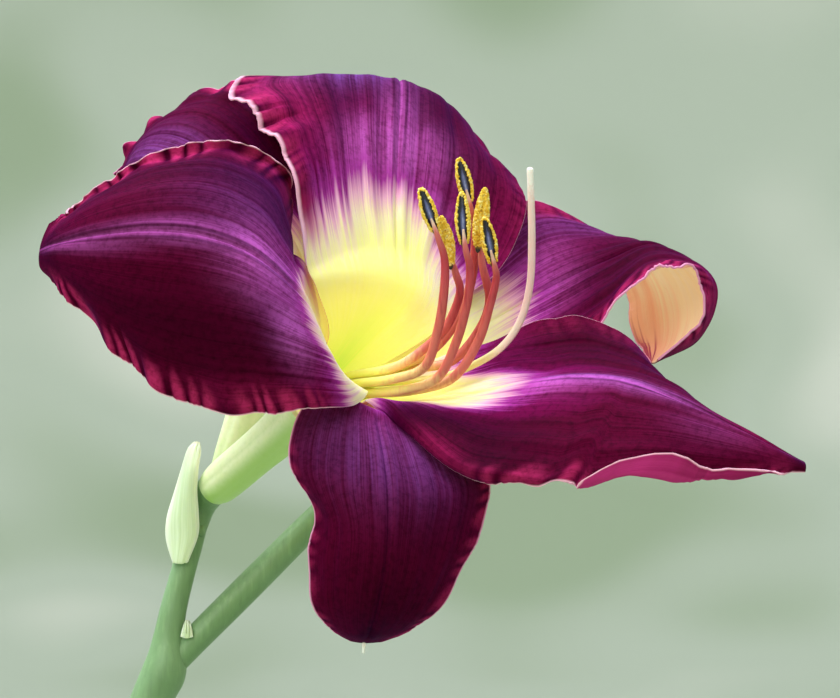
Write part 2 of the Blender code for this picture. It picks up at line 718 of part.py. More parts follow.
def build():
    remove_objects()
    wine = finish("petal", (0.16, 0.008, 0.055), 0.5)
    plum = finish("sepal", (0.13, 0.012, 0.075), 0.5)
    lime = finish("tube", (0.45, 0.62, 0.2), 0.45)
    green = finish("stem", (0.2, 0.32, 0.14), 0.5)
    pale_green = finish("bract", (0.5, 0.66, 0.3), 0.55)
    coral = finish("filament", (0.62, 0.13, 0.1), 0.45)
    pollen = finish("anther", (0.75, 0.5, 0.08), 0.85)
    cream = finish("style", (0.85, 0.66, 0.58), 0.4)
    glaze = finish("vase_glaze", (0.72, 0.72, 0.66), 0.2)
    clear = finish("water", (0.55, 0.68, 0.66), 0.05)

    tepal("petal_left", PETAL_LEFT, PETAL_FUNNEL, PETAL_GRID, wine)
    tepal("petal_top", PETAL_TOP, PETAL_FUNNEL, PETAL_GRID, wine)
    tepal("petal_right", PETAL_RIGHT, PETAL_FUNNEL, PETAL_GRID, wine)
    tepal("sepal_left", SEPAL_LEFT, SEPAL_FUNNEL, SEPAL_GRID, plum)
    tepal("sepal_right", SEPAL_RIGHT, SEPAL_FUNNEL, SEPAL_GRID, plum)
    tepal("sepal_bottom", SEPAL_BOTTOM, SEPAL_FUNNEL, SEPAL_GRID, plum)
    flower_tube(lime)
    style(cream)
    for index, stamen in enumerate(STAMENS, start=1):
        filament(index, stamen, coral)
        anther(index, stamen, pollen)
    scape(green)
    small_blade("bract", BRACT_ROWS, BRACT_GRID, pale_green)
    small_blade("fork_scale", SCALE_ROWS, SCALE_GRID, pale_green)
    sweep("side_bud", bloom_way(SIDE_BUD_WAY), BUD_SIDES, BUD_RINGS, lime)
    sweep("branch_bud", bloom_way(BRANCH_BUD_WAY), BUD_SIDES, BUD_RINGS, lime)
    vase(glaze)
    water(clear)


build()
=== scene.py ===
import math

import bmesh
import bpy
import numpy as np
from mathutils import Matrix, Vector


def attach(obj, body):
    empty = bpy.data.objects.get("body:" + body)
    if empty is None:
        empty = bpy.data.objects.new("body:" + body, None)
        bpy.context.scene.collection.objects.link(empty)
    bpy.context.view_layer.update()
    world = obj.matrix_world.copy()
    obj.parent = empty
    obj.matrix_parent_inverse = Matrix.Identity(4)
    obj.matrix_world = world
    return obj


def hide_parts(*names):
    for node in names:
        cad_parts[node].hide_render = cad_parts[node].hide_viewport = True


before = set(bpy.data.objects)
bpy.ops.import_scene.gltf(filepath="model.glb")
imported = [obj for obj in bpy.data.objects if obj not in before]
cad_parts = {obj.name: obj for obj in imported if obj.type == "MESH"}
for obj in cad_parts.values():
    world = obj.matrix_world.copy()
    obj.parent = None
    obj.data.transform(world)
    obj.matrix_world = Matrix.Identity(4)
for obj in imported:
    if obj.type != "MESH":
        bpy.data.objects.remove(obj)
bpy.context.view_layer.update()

# The six tepals: three broad ruffled petals over three narrower sepals. Each is one living sheet, over half
# a millimetre thick at its rib and thinner at its crimped margin, and grows out of the tube.
# Sizes are millimetres to the right of, above and in front of the bloom's middle.
MM = 0.001
BLOOM_MIDDLE = (69.0, -39.0, 268.0)
AXIS_RISE = math.radians(40)
AXIS_FORWARD = math.radians(42)
AXIS = np.array(
    (
        math.cos(AXIS_RISE) * math.cos(AXIS_FORWARD),
        math.sin(AXIS_RISE) * math.cos(AXIS_FORWARD),
        math.sin(AXIS_FORWARD),
    )
)
ACROSS_UP = np.array((-math.sin(AXIS_RISE), math.cos(AXIS_RISE), 0.0))
ACROSS_FRONT = np.cross(AXIS, ACROSS_UP)
THROAT = np.array((-15.0, -7.6, -20.0))
PETAL_FUNNEL = ((0.0, 3.4, 50), (9.0, 6.2, 50), (18.0, 10.3, 48))
SEPAL_FUNNEL = ((0.0, 4.8, 48), (9.0, 7.75, 48), (17.5, 12.3, 48))
# The sheet's thickness, and its grid: steps along, and columns on the rib and on each half beside it.
RIB_THICKNESS = 0.62
MARGIN_THICKNESS = 0.3
BLADE_STEPS = 230
RIB_HALF = 0.09
RIB_COLUMNS = 7
SIDE_COLUMNS = 38
# Where along a blade its waved margins start and are full, and where they begin to calm toward the tip. The
# broad waves and the gathers run in from the margin to these shares of the half width.
WAVES_START = 0.32
WAVES_RISE = 0.15
WAVES_CALM = 0.9
WAVES_FADE = 0.1
WAVES_INSIDE = 0.62
GATHERS_INSIDE = 0.74
# The throat's own slope of colour, below its reach, and where along a blade the margins' colours begin.
THROAT_SLOPE = 1.35
COLOURS_START = 0.3

# Each blade: one margin, the rib and the other margin, row by row out to the tip, after the funnel rows that
# it shares with its kind. The low margin comes first in each row and in each pair of values. Along, a blade
# runs from 0 in the throat to 1 at its tip, and across from -1 at its low margin to 1 at its high one.
# turn: its place round the axis. spans: how far round either margin stands in the funnel.
# funnel: how many of the funnel's rows it takes, where it doesn't take all.
# throat: how far its yellow reaches, how fast that turns to wine on either half, and how much sooner it ends
#   at either margin.
# waves, crimps: how many broad waves and fine gathers a margin has, and their height. low, high: places along
#   that margin, with the strength of its waves and of its gathers there.
# rims: how broad the pale rims are. bands: how strong the pink bands inside them are, and how broad.
# blushes: soft pink places; then the places of painted mauve sheen, of painted bluish sheen and of painted
# shade: each where along and across, how far each way, and how strong.
# pleats: the height of the shallow folds along the blade. dish: which half is sunk, how deep and from where.
# flaps: stretches of margin that are folded up or rolled under: on which side, from where across, by how
#   many degrees, how tightly, and how far out at places along.
PETAL_LEFT = {
    "turn": 60,
    "funnel": 2,
    "throat": (0.332, 2.6, 2.6, 0.14, 0.045),
    "waves": (9, 0.7),
    "crimps": (27, 0.55),
    "low": ((0.3, 0, 0), (0.45, 0.25, 0.35), (0.6, 0.5, 0.7), (0.75, 0.8, 1), (1, 1, 1)),
    "high": ((0.3, 0.2, 0.3), (0.42, 0.6, 0.8), (0.6, 0.7, 1), (1, 0.9, 1)),
    "rims": (0.6, 0.45),
    "bands": ((1.0, 5.5), (0.95, 2.8)),
    "blushes": ((0.5, 0.95, 0.14, 0.12, 0.4),),
    "painted_mauve_sheens": (
        (0.46, 0.02, 0.1, 0.28, 0.85),
        (0.41, 0.4, 0.05, 0.3, 0.75),
        (0.64, 0.0, 0.2, 0.09, 0.6),
        (0.85, 0.05, 0.14, 0.12, 0.6),
    ),
    "painted_blue_sheens": ((0.5, -0.3, 0.16, 0.4, 0.2), (0.42, 0.1, 0.08, 0.5, 0.3)),
    "shades": ((0.64, 0.62, 0.26, 0.3, 0.6), (0.96, 0.0, 0.07, 1.0, 0.6), (0.6, -0.62, 0.3, 0.14, 0.4)),
    "pleats": 0.12,
    "flaps": (
        {
            "side": -1,
            "knee": 0.93,
            "turn": 75,
            "radius": 1.0,
            "ripple": 0.3,
            "lengths": ((0.42, 0), (0.48, 1.5), (0.6, 2.1), (0.8, 2.2), (0.92, 1.6), (0.98, 0.6)),
        },
    ),
    "rows": (
        ((-16.2, 11.5, -7.4), (-15.5, 1.15, 1.0), (-7.6, -6.1, -0.6)),
        ((-19.4, 14.7, -10.3), (-15.5, 5.2, 6.5), (-9.5, -8, 5)),
        ((-18.6, 20, -11.5), (-18.4, 9, 10), (-14.5, -8.3, 9.5)),
        ((-20.2, 25.2, -10.5), (-24, 13.5, 12), (-21, -9, 11)),
        ((-27, 28.2, -4), (-31, 16, 12), (-28, -9, 10)),
        ((-35.5, 27.2, -1), (-38.5, 16.6, 11), (-35.5, -6.5, 9)),
        ((-43.5, 23.4, -1), (-46, 16, 8), (-42.5, -1, 7)),
        ((-49.5, 19.4, -1), (-51.5, 15, 4), (-49, 6.5, 4)),
        ((-53, 17.8, 0), (-54.2, 14, 1), (-54, 11, 1)),
    ),
}
PETAL_TOP = {
    "turn": 300,
    "funnel": 2,
    "throat": (0.392, 2.1, 1.25, 0.09, 0.04),
    "waves": (8, 0.9),
    "crimps": (23, 0.6),
    "low": ((0.3, 0, 0), (0.5, 0.15, 0.2), (0.62, 0.35, 0.5), (1, 0.5, 0.6)),
    "high": ((0.3, 0, 0), (0.5, 0.25, 0.15), (0.62, 0.5, 0.7), (0.7, 1, 1), (1, 1, 1)),
    "rims": (0.1, 2.0),
    "bands": ((0.35, 3.0), (1.0, 3.6)),
    "blushes": (
        (0.72, 0.88, 0.15, 0.28, 0.75),
        (0.6, 0.98, 0.12, 0.1, 0.5),
        (0.85, -0.85, 0.3, 0.25, 0.35),
        (0.5, -0.85, 0.16, 0.25, 0.3),
    ),
    "painted_mauve_sheens": ((0.55, 0.05, 0.1, 0.46, 0.85), (0.64, 0.0, 0.16, 0.2, 0.5), (0.42, -0.3, 0.06, 0.25, 0.5)),
    "painted_blue_sheens": ((0.85, 0.35, 0.1, 0.4, 0.75),),
    "shades": ((0.55, -0.8, 0.28, 0.3, 0.3), (0.75, -0.4, 0.16, 0.3, 0.35), (0.68, 0.55, 0.1, 0.22, 0.45)),
    "pleats": 0.18,
    "rows": (
        ((2.1, 2.4, -14.8), (-3.7, 8.6, -14.1), (-14.8, 8.5, -5.4)),
        ((5.5, 6.8, -19), (-3.5, 15, -17.5), (-16.3, 12, -5.2)),
        ((11.5, 11.5, -24.5), (-3.6, 21, -20.5), (-17.1, 18, -6.7)),
        ((14.8, 17.5, -29.5), (-3.4, 27, -24), (-18.3, 24.5, -7.7)),
        ((15.6, 23, -34.5), (-3.2, 32.3, -28), (-20, 29, -9.5)),
        ((12.5, 26.8, -40), (-3, 36.2, -33), (-23.5, 33, -12)),
        ((8, 31, -46), (-3, 40, -39.5), (-27.8, 38, -17)),
        ((3, 34.5, -51), (-3.5, 39, -47), (-23.4, 38.8, -27)),
        ((-1.5, 32, -54), (-3.5, 33, -54), (-7, 34, -52)),
    ),
}
PETAL_RIGHT = {
    "turn": 180,
    "throat": (0.34, 1.8, 1.8, 0.2, 0.16),
    "waves": (8, 0.7),
    "crimps": (22, 0.5),
    "low": ((0.3, 0, 0), (0.5, 0.5, 0.6), (0.6, 0.8, 1), (0.8, 0.4, 0.8), (1, 0.6, 1)),
    "high": ((0.3, 0, 0), (0.45, 0.5, 0.2), (0.65, 0.5, 0.3), (1, 0.5, 0.5)),
    "rims": (1.0, 0.1),
    "bands": ((0.7, 3.4), (0.3, 3.0)),
    "blushes": ((0.36, -0.97, 0.05, 0.2, 0.6), (0.78, -0.97, 0.25, 0.12, 0.35), (0.88, 0.2, 0.1, 0.6, 0.3)),
    "painted_mauve_sheens": ((0.4, -0.02, 0.13, 0.15, 1.0), (0.57, 0.02, 0.2, 0.11, 0.75), (0.8, -0.2, 0.1, 0.3, 0.15)),
    "painted_blue_sheens": ((0.54, 0.03, 0.16, 0.1, 0.4),),
    "shades": ((0.33, -0.75, 0.18, 0.4, 0.95), (0.5, 0.7, 0.3, 0.35, 0.5), (0.985, 0.0, 0.05, 1.2, 0.9)),
    "pleats": 0.12,
    "spans": (53, 48),
    "dish": (1, 3.0, (0.3, 0.42, 0.56, 0.72)),
    "flaps": (
        {
            "side": -1,
            "knee": 0.86,
            "turn": 160,
            "radius": 0.5,
            "lengths": (
                (0.585, 0), (0.61, 1.3), (0.64, 2.9), (0.665, 3.8), (0.69, 4.1), (0.715, 4.7), (0.74, 5.0),
                (0.765, 4.5), (0.79, 3.3), (0.815, 2.6), (0.84, 2.7), (0.865, 2.4), (0.9, 1.8), (0.93, 1.3),
                (0.97, 0.5),
            ),
        },
        {
            "side": -1,
            "knee": 0.86,
            "turn": -120,
            "radius": 1.1,
            "lengths": ((0.12, 0), (0.2, 2.2), (0.48, 2.2), (0.54, 1.2), (0.585, 0)),
        },
    ),
    "rows": (
        ((-1, -10.3, 3.5), (8, -6.5, -3), (10.5, 1, -15)),
        ((6, -16, 10), (15, -4.9, 1), (16.5, 3.8, -14)),
        ((14, -17.4, 15), (22, -4, 5), (22.5, 4.6, -12)),
        ((22, -18.7, 18), (29, -4.6, 8.5), (29, 2.4, -8)),
        ((30, -17.6, 19.5), (36, -7.2, 11.5), (35, -5.6, -1.5)),
        ((39, -18, 19), (42.5, -10.2, 13.5), (40, -12.5, 4)),
        ((47.5, -17.2, 17), (48.5, -13.2, 14.5), (46, -14, 9.5)),
        ((54, -17.2, 15.5), (54, -16.2, 15), (53.5, -15.8, 13.5)),
    ),
}
SEPAL_LEFT = {
    "turn": 0,
    "funnel": 2,
    "throat": (0.3, 2.0, 2.0, 0.05, 0.05),
    "waves": (9, 1.1),
    "crimps": (19, 0.6),
    "low": ((0.3, 0, 0), (0.5, 0.6, 0.6), (1, 1, 1)),
    "high": ((0.3, 0, 0), (0.5, 0.6, 0.6), (1, 1, 1)),
    "rims": (0.6, 0.6),
    "bands": ((1.0, 2.5), (1.0, 2.5)),
    "painted_mauve_sheens": ((0.5, 0.3, 0.3, 0.4, 0.15),),
    "painted_blue_sheens": ((0.55, 0.45, 0.3, 0.6, 0.45),),
    "shades": ((0.4, -0.8, 0.2, 0.4, 0.7),),
    "pleats": 0.12,
    "rows": (
        ((-7.6, 10, -17.2), (-16.4, 9.8, -10.9), (-18.7, 4.6, -4.3)),
        ((-12, 18, -20), (-18.5, 16, -14), (-20.5, 12, -8)),
        ((-16, 26, -25), (-24, 22, -16.5), (-27, 16.5, -9)),
        ((-21.5, 35.5, -28), (-29.5, 27, -17), (-33.5, 20, -9)),
        ((-28, 39.2, -31), (-34, 30.5, -19), (-38.5, 22, -11)),
        ((-33.8, 37.4, -33), (-38, 31.5, -22.5), (-42, 23, -14.5)),
        ((-38.6, 34.2, -35), (-41, 30.5, -27), (-44, 23.5, -20)),
        ((-43, 30.5, -36), (-43, 28, -31.5), (-45, 24, -27)),
        ((-45.5, 26, -36.5), (-44.6, 25, -35), (-44.5, 24, -34)),
    ),
}
SEPAL_RIGHT = {
    "turn": 240,
    "throat": (0.31, 2.2, 2.2, 0.05, 0.05),
    "waves": (9, 0.4),
    "crimps": (26, 0.4),
    "low": ((0.3, 0, 0), (0.5, 1, 1), (0.88, 1, 1), (0.97, 0, 0)),
    "high": ((0.3, 0, 0), (0.5, 0.5, 0.4), (0.7, 1, 1), (0.88, 1, 1), (0.97, 0, 0)),
    "rims": (0.9, 0.4),
    "bands": ((0.9, 4.5), (1.0, 3.6)),
    "blushes": ((0.84, -0.75, 0.12, 0.35, 1.0), (0.8, 0.0, 0.1, 1.2, 0.5), (0.7, 0.8, 0.2, 0.35, 0.6)),
    "painted_mauve_sheens": ((0.38, 0.1, 0.07, 0.5, 0.4),),
    "painted_blue_sheens": ((0.5, 0.8, 0.3, 0.3, 0.4),),
    "shades": ((0.52, -0.2, 0.14, 0.7, 0.6), (0.66, 0.1, 0.14, 0.5, 0.5)),
    "pleats": 0.14,
    "rows": (
        ((12, -3, -19.6), (12, 4.9, -26.3), (7, 14.4, -30.3)),
        ((20, -0.5, -20), (20, 9.5, -29.5), (15.5, 22, -37.5)),
        ((26, 3, -18), (27.5, 13, -29), (23, 19.5, -40)),
        ((31, 9.5, -17), (34.5, 15.3, -31), (28.5, 14, -42)),
        ((37, 12.2, -18), (40.3, 12, -31.5), (31, 8, -40)),
        ((41, 10.5, -20), (42.8, 6.8, -30), (31.5, 3, -36)),
        ((40.8, 4, -21), (40.3, 1.2, -27), (32.8, 0, -30)),
        ((35, -1.5, -21.5), (34.5, -2, -23), (34, -2, -24)),
    ),
}
SEPAL_BOTTOM = {
    "turn": 120,
    "funnel": 2,
    "throat": (0.16, 2.4, 2.4, 0.04, 0.04),
    "waves": (6, 0.2),
    "crimps": (20, 0.12),
    "low": ((0.3, 1, 1), (1, 1, 1)),
    "high": ((0.3, 1, 1), (1, 1, 1)),
    "rims": (1.0, 1.0),
    "bands": ((0.4, 1.6), (0.5, 1.8)),
    "painted_mauve_sheens": ((0.33, 0.1, 0.1, 0.8, 0.15),),
    "painted_blue_sheens": ((0.38, 0.0, 0.16, 1.0, 0.28),),
    "shades": ((0.84, 0.1, 0.22, 0.8, 0.75), (0.91, 0.0, 0.08, 0.45, 1.0), (0.6, 0.45, 0.2, 0.4, 0.4)),
    "pleats": 0.07,
    "rows": (
        ((-13.2, -4.2, 2.2), (-6.6, -8.8, -0.2), (1.4, -9.6, -6.4)),
        ((-15.5, -6.5, 1.5), (-6, -11, 3), (4.5, -12, -4)),
        ((-18, -11, 5), (-5, -16, 9), (8, -16, -0.5)),
        ((-18.3, -16, 9.5), (-4.5, -20.5, 14), (9.9, -19.7, 4)),
        ((-15, -22.5, 11), (-4.5, -26, 16), (8.8, -25, 7.5)),
        ((-15.6, -28.5, 11.5), (-5, -31.5, 16), (6, -31, 9.5)),
        ((-15.4, -34.8, 11), (-6, -36.5, 14), (2.5, -36.8, 10)),
        ((-13.1, -39.2, 9), (-7, -39.9, 10.5), (-0.9, -39.4, 9)),
        ((-9.9, -41.2, 7.5), (-7.8, -41.5, 7.5), (-5.4, -41.3, 7.5)),
    ),
}


def from_bloom(points):
    """Points given right, up and front of the bloom's middle, as world points in metres."""
    points = np.asarray(points, float)
    turned = np.stack((points[..., 0], -points[..., 2], points[..., 1]), axis=-1)
    return (turned + np.array(BLOOM_MIDDLE)) * MM


def around_axis(along, radius, turn):
    angle = math.radians(turn)
    return THROAT + along * AXIS + radius * (math.cos(angle) * ACROSS_UP + math.sin(angle) * ACROSS_FRONT)


def curve_at(points, at):
    """The smooth curve through points or rows of points, read at places counted in points."""
    points = np.asarray(points, float)
    ends = (2 * points[0] - points[1], 2 * points[-1] - points[-2])
    padded = np.concatenate((ends[0][None], points, ends[1][None]))
    index = np.clip(np.floor(at).astype(int), 0, len(points) - 2)
    step = (at - index).reshape((-1,) + (1,) * (points.ndim - 1))
    before, start, end, after = (padded[index + offset] for offset in range(4))
    bend = 2 * before - 5 * start + 4 * end - after
    twist = 3 * start - before - 3 * end + after
    return 0.5 * (2 * start + (end - before) * step + bend * step**2 + twist * step**3)


def ease(value):
    value = np.clip(value, 0, 1)
    return value * value * (3 - 2 * value)


def unit(vectors):
    return vectors / np.maximum(np.linalg.norm(vectors, axis=-1, keepdims=True), 1e-9)


def normals_of(points):
    return unit(np.cross(np.gradient(points, axis=0), np.gradient(points, axis=1)))


def margin_waves(blade, along, across):
    """How far waved margins stand off the sheet, each point's place among the gathers, and how these show."""
    waves, ruffle = blade["waves"]
    crimps, crimp = blade["crimps"]
    low, high = (
        [np.interp(along, places, strength) for strength in strengths]
        for places, *strengths in (np.array(blade[label]).T for label in ("low", "high"))
    )
    wave_share, gather_share = (np.where(across > 0, *pair) for pair in zip(high, low))
    out = np.abs(across)
    grow = ease((along - WAVES_START) / WAVES_RISE) * (1 - 0.5 * ease((along - WAVES_CALM) / WAVES_FADE))
    # Broad waves of uneven length.
    turn = 2 * math.pi * waves * along + 0.9 * blade["turn"] + np.where(across > 0, 2.1, 0.0)
    broad = grow * ease((out - WAVES_INSIDE) / (1 - WAVES_INSIDE)) * np.sin(turn + 0.8 * np.sin(0.37 * turn))
    # Fine gathers: puffs between sharp creases, uneven in length, height and breadth.
    gather = crimps * along + 0.13 * blade["turn"] + np.where(across > 0, 0.4, 0.0)
    gather = gather + 0.35 * np.sin(1.7 * gather) + 0.25 * np.sin(0.61 * gather + 1.3)
    place = gather + 0.5 * (1 - out) * np.sin(2.3 * gather)
    puff = np.abs(np.sin(math.pi * place)) ** 0.6
    puff = puff + 0.35 * np.sin(5.1 * math.pi * gather + 1.0) * np.sin(0.8 * gather)
    strength = 0.6 + 0.4 * np.sin(0.9 * gather + 2.0)
    inside = GATHERS_INSIDE + 0.1 * np.sin(1.9 * gather)
    fine = grow * strength * ease((out - inside) / (1 - inside)) * (puff - 0.6)
    shown = grow * (0.5 + 0.5 * strength) * ease((out - inside + 0.1) / 0.2)
    off = ruffle * broad * wave_share + crimp * fine * gather_share
    return off, place, shown * np.minimum(1, 1.5 * gather_share)


def flap_share(flap, along):
    lengths = np.interp(along, *zip(*flap["lengths"]))
    return lengths, ease(lengths / 1.2)


def folded_margin(blade, flap, along, across, mid, straight, cup):
    """How far a flap of margin moves each point, and how broad the flap still is beyond it."""
    side, radius = flap["side"], flap["radius"]
    lengths, share = flap_share(flap, along)
    knee = (1 - (1 - flap["knee"]) * share)[:, None]
    # The ways out and up from the sheet at the knee, and how far beyond it each point lies.
    slope = straight + 2 * side * cup
    out = unit(side * slope)
    up = unit(np.cross(np.gradient(mid + side * straight + cup, axis=0), slope))
    past = np.maximum(side * across - knee, 0) / (1 - flap["knee"])
    beyond = past * lengths[:, None] * share[:, None]
    # Each point goes round the bend as far as it turns, and straight on from there.
    ripple = np.sin(2 * math.pi * blade["crimps"][0] * along + np.sin(31 * along))
    sway = 1 + flap.get("ripple", 0) * ripple
    limit = math.radians(abs(flap["turn"])) * (share * sway)[:, None] + 1e-6
    angle = np.minimum(beyond / radius, limit)
    rest = beyond - radius * angle
    outward = radius * np.sin(angle) + rest * np.cos(angle)
    upward = radius * (1 - np.cos(angle)) + rest * np.sin(angle)
    upward = upward * math.copysign(1, flap["turn"])
    move = outward[..., None] * out[:, None] + upward[..., None] * up[:, None]
    own = np.maximum((lengths * share)[:, None] - beyond, 0)
    return move, np.where(side * across > 0, own, 0)


def bent_rows(rows, along, across):
    """A sheet whose cross-sections are parabolas through each row's three points, and what makes these up."""
    low, mid, high = np.moveaxis(curve_at(rows, along * (len(rows) - 1)), 1, 0)
    straight, cup = (high - low) / 2, (low + high) / 2 - mid
    points = mid[:, None] + across[..., None] * straight[:, None] + across[..., None] ** 2 * cup[:, None]
    return points, mid, straight, cup


def blade_sheet(blade, funnel):
    """A tepal's middle sheet, and each point's place along, across, from the margin and in its gathers."""
    # The funnel's rows, and the blade's own.
    rows = []
    for along, radius, half in funnel[: blade.get("funnel", len(funnel))]:
        low, high = blade.get("spans", (half, half))
        turns = (blade["turn"] - low, blade["turn"], blade["turn"] + high)
        rows.append([around_axis(along, radius, turn) for turn in turns])
    rows = np.array(rows + [list(row) for row in blade["rows"]], float)
    # The grid: even along the blade, and closer at the rib and toward the margins.
    along = np.linspace(0, 1, BLADE_STEPS + 1)
    rib = np.linspace(0, RIB_HALF, RIB_COLUMNS)[:-1]
    side = RIB_HALF + (1 - RIB_HALF) * np.sin(np.linspace(0, 1, SIDE_COLUMNS) * math.pi / 2)
    half = np.concatenate((rib, side))
    u, v = np.meshgrid(along, np.concatenate((-half[:0:-1], half)), indexing="ij")
    # The sheet ends at the knee of a flap, where every point beyond it waits to be folded out.
    flaps = blade.get("flaps", ())
    spread = v.copy()
    for flap in flaps:
        knee = 1 - (1 - flap["knee"]) * flap_share(flap, u)[1]
        spread = np.where(flap["side"] * v > 0, flap["side"] * np.minimum(np.abs(spread) / knee, 1), spread)
    points, mid, straight, cup = bent_rows(rows, along, spread)
    if "dish" in blade:
        side, depth, (start, full, still, end) = blade["dish"]
        hollow = depth * ease((along - start) / (full - start)) * ease((end - along) / (end - still))
        inside = np.clip(side * spread, 0, 1)
        sunk = hollow[:, None] * 4 * inside * (1 - inside)
        points = points - normals_of(points) * sunk[..., None]
    # How far each point is from the margin in millimetres, over the flap where there is one.
    width = np.linalg.norm(straight, axis=1)[:, None]
    edge = width * (1 - np.abs(spread))
    for flap in flaps:
        move, own = folded_margin(blade, flap, along, v, mid, straight, cup)
        points = points + move
        edge = edge + own
    # A groove on the rib between two low ridges, and pleats that fan out from it.
    off, place, gathers = margin_waves(blade, u, v)
    from_rib = np.abs(v) * width
    channel = 0.16 * np.exp(-(((from_rib - 0.9) / 0.45) ** 2)) - 0.3 * np.exp(-((from_rib / 0.4) ** 2))
    channel = channel * ease((u - 0.2) / 0.15) * ease((1 - u) / 0.12)
    fan = np.sin(2 * math.pi * (3.4 * v + 0.06 * np.sin(9 * u)) + 0.05 * blade["turn"])
    fan = fan + 0.6 * np.sin(2 * math.pi * 6.3 * v + 0.03 * blade["turn"] + 3 * u)
    pleats = blade["pleats"] * fan * ease((u - 0.22) / 0.2) * ease((0.95 - u) / 0.3)
    pleats = pleats * ease((1 - np.abs(v)) / 0.25) * ease(np.abs(v) / 0.12)
    points = points + normals_of(points) * (off + channel + pleats)[..., None]
    return points, u, v, edge, place, gathers


def linked(name, mesh):
    mesh.shade_smooth()
    piece = bpy.data.objects.new(name, mesh)
    bpy.context.scene.collection.objects.link(piece)
    return piece


def new_piece(name, places, faces, fields):
    """A closed piece from points in metres, its faces turned outward and its fields kept per point."""
    mesh = bpy.data.meshes.new(name)
    mesh.from_pydata(places.tolist(), [], faces)
    for label, values in fields.items():
        values = np.asarray(values, np.float32).reshape(-1)
        mesh.attributes.new(label, "FLOAT", "POINT").data.foreach_set("value", values)
    work = bmesh.new()
    work.from_mesh(mesh)
    bmesh.ops.recalc_face_normals(work, faces=work.faces)
    work.to_mesh(mesh)
    work.free()
    return linked(name, mesh)


def solid_of_sheet(name, points, u, v, thickness, fields):
    """A closed piece with an upper and an under face joined round their edge, and a UV across and along."""
    count = u.size
    normal = normals_of(points) * thickness[..., None] / 2
    places = from_bloom(np.stack((points + normal, points - normal)).reshape(-1, 3))
    index = np.arange(count).reshape(u.shape)
    upper = np.stack((index[:-1, :-1], index[1:, :-1], index[1:, 1:], index[:-1, 1:]), axis=-1).reshape(-1, 4)
    edge = np.concatenate((index[0, :-1], index[:-1, -1], index[-1, :0:-1], index[:0:-1, 0]))
    after = np.roll(edge, -1)
    wall = np.stack((edge, after, after + count, edge + count), axis=-1)
    faces = np.concatenate((upper, upper[:, ::-1] + count, wall)).tolist()
    both = {label: np.broadcast_to(values, (2, *u.shape)) for label, values in fields.items()}
    piece = new_piece(name, places, faces, both)
    corner = np.empty(len(piece.data.loops), np.int32)
    piece.data.loops.foreach_get("vertex_index", corner)
    layer = np.stack((0.5 + 0.5 * v, u), axis=-1).reshape(-1, 2)[corner % count]
    piece.data.uv_layers.new(name="blade").data.foreach_set("uv", layer.reshape(-1).astype(np.float32))
    return piece


def fitted(piece, node, material):
    """Puts a piece in a solid's place, on the object's one body."""
    piece.data.materials.append(material)
    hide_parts(node)
    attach(piece, "root")
    return piece


def colour(code):
    """A colour written as six hexadecimal digits, as linear red, green, blue and alpha."""
    parts = [int(code[i : i + 2], 16) / 255 for i in (0, 2, 4)]
    parts = [part / 12.92 if part <= 0.04045 else ((part + 0.055) / 1.055) ** 2.4 for part in parts]
    return (*parts, 1.0)


def new_material(name, settings):
    """A material, its node tree and its Principled shader, with constant settings on the shader's sockets."""
    material = bpy.data.materials.new(name)
    material.use_nodes = True
    tree = material.node_tree
    shader = tree.nodes["Principled BSDF"]
    for socket, value in settings.items():
        shader.inputs[socket].default_value = value
    return material, tree, shader


def add(tree, kind, inputs=None, **options):
    """A node with its options set, and each input set to a value or linked to another node's output."""
    node = tree.nodes.new(kind)
    for option, value in options.items():
        setattr(node, option, value)
    for socket, value in (inputs or {}).items():
        if isinstance(value, Value):
            tree.links.new(value.socket, node.inputs[socket])
        else:
            node.inputs[socket].default_value = value
    return node


# A Mix node's sockets for two colours and for their mixture, counted from its first.
COLOUR_A = 6
COLOUR_B = 7
COLOUR_RESULT = 2


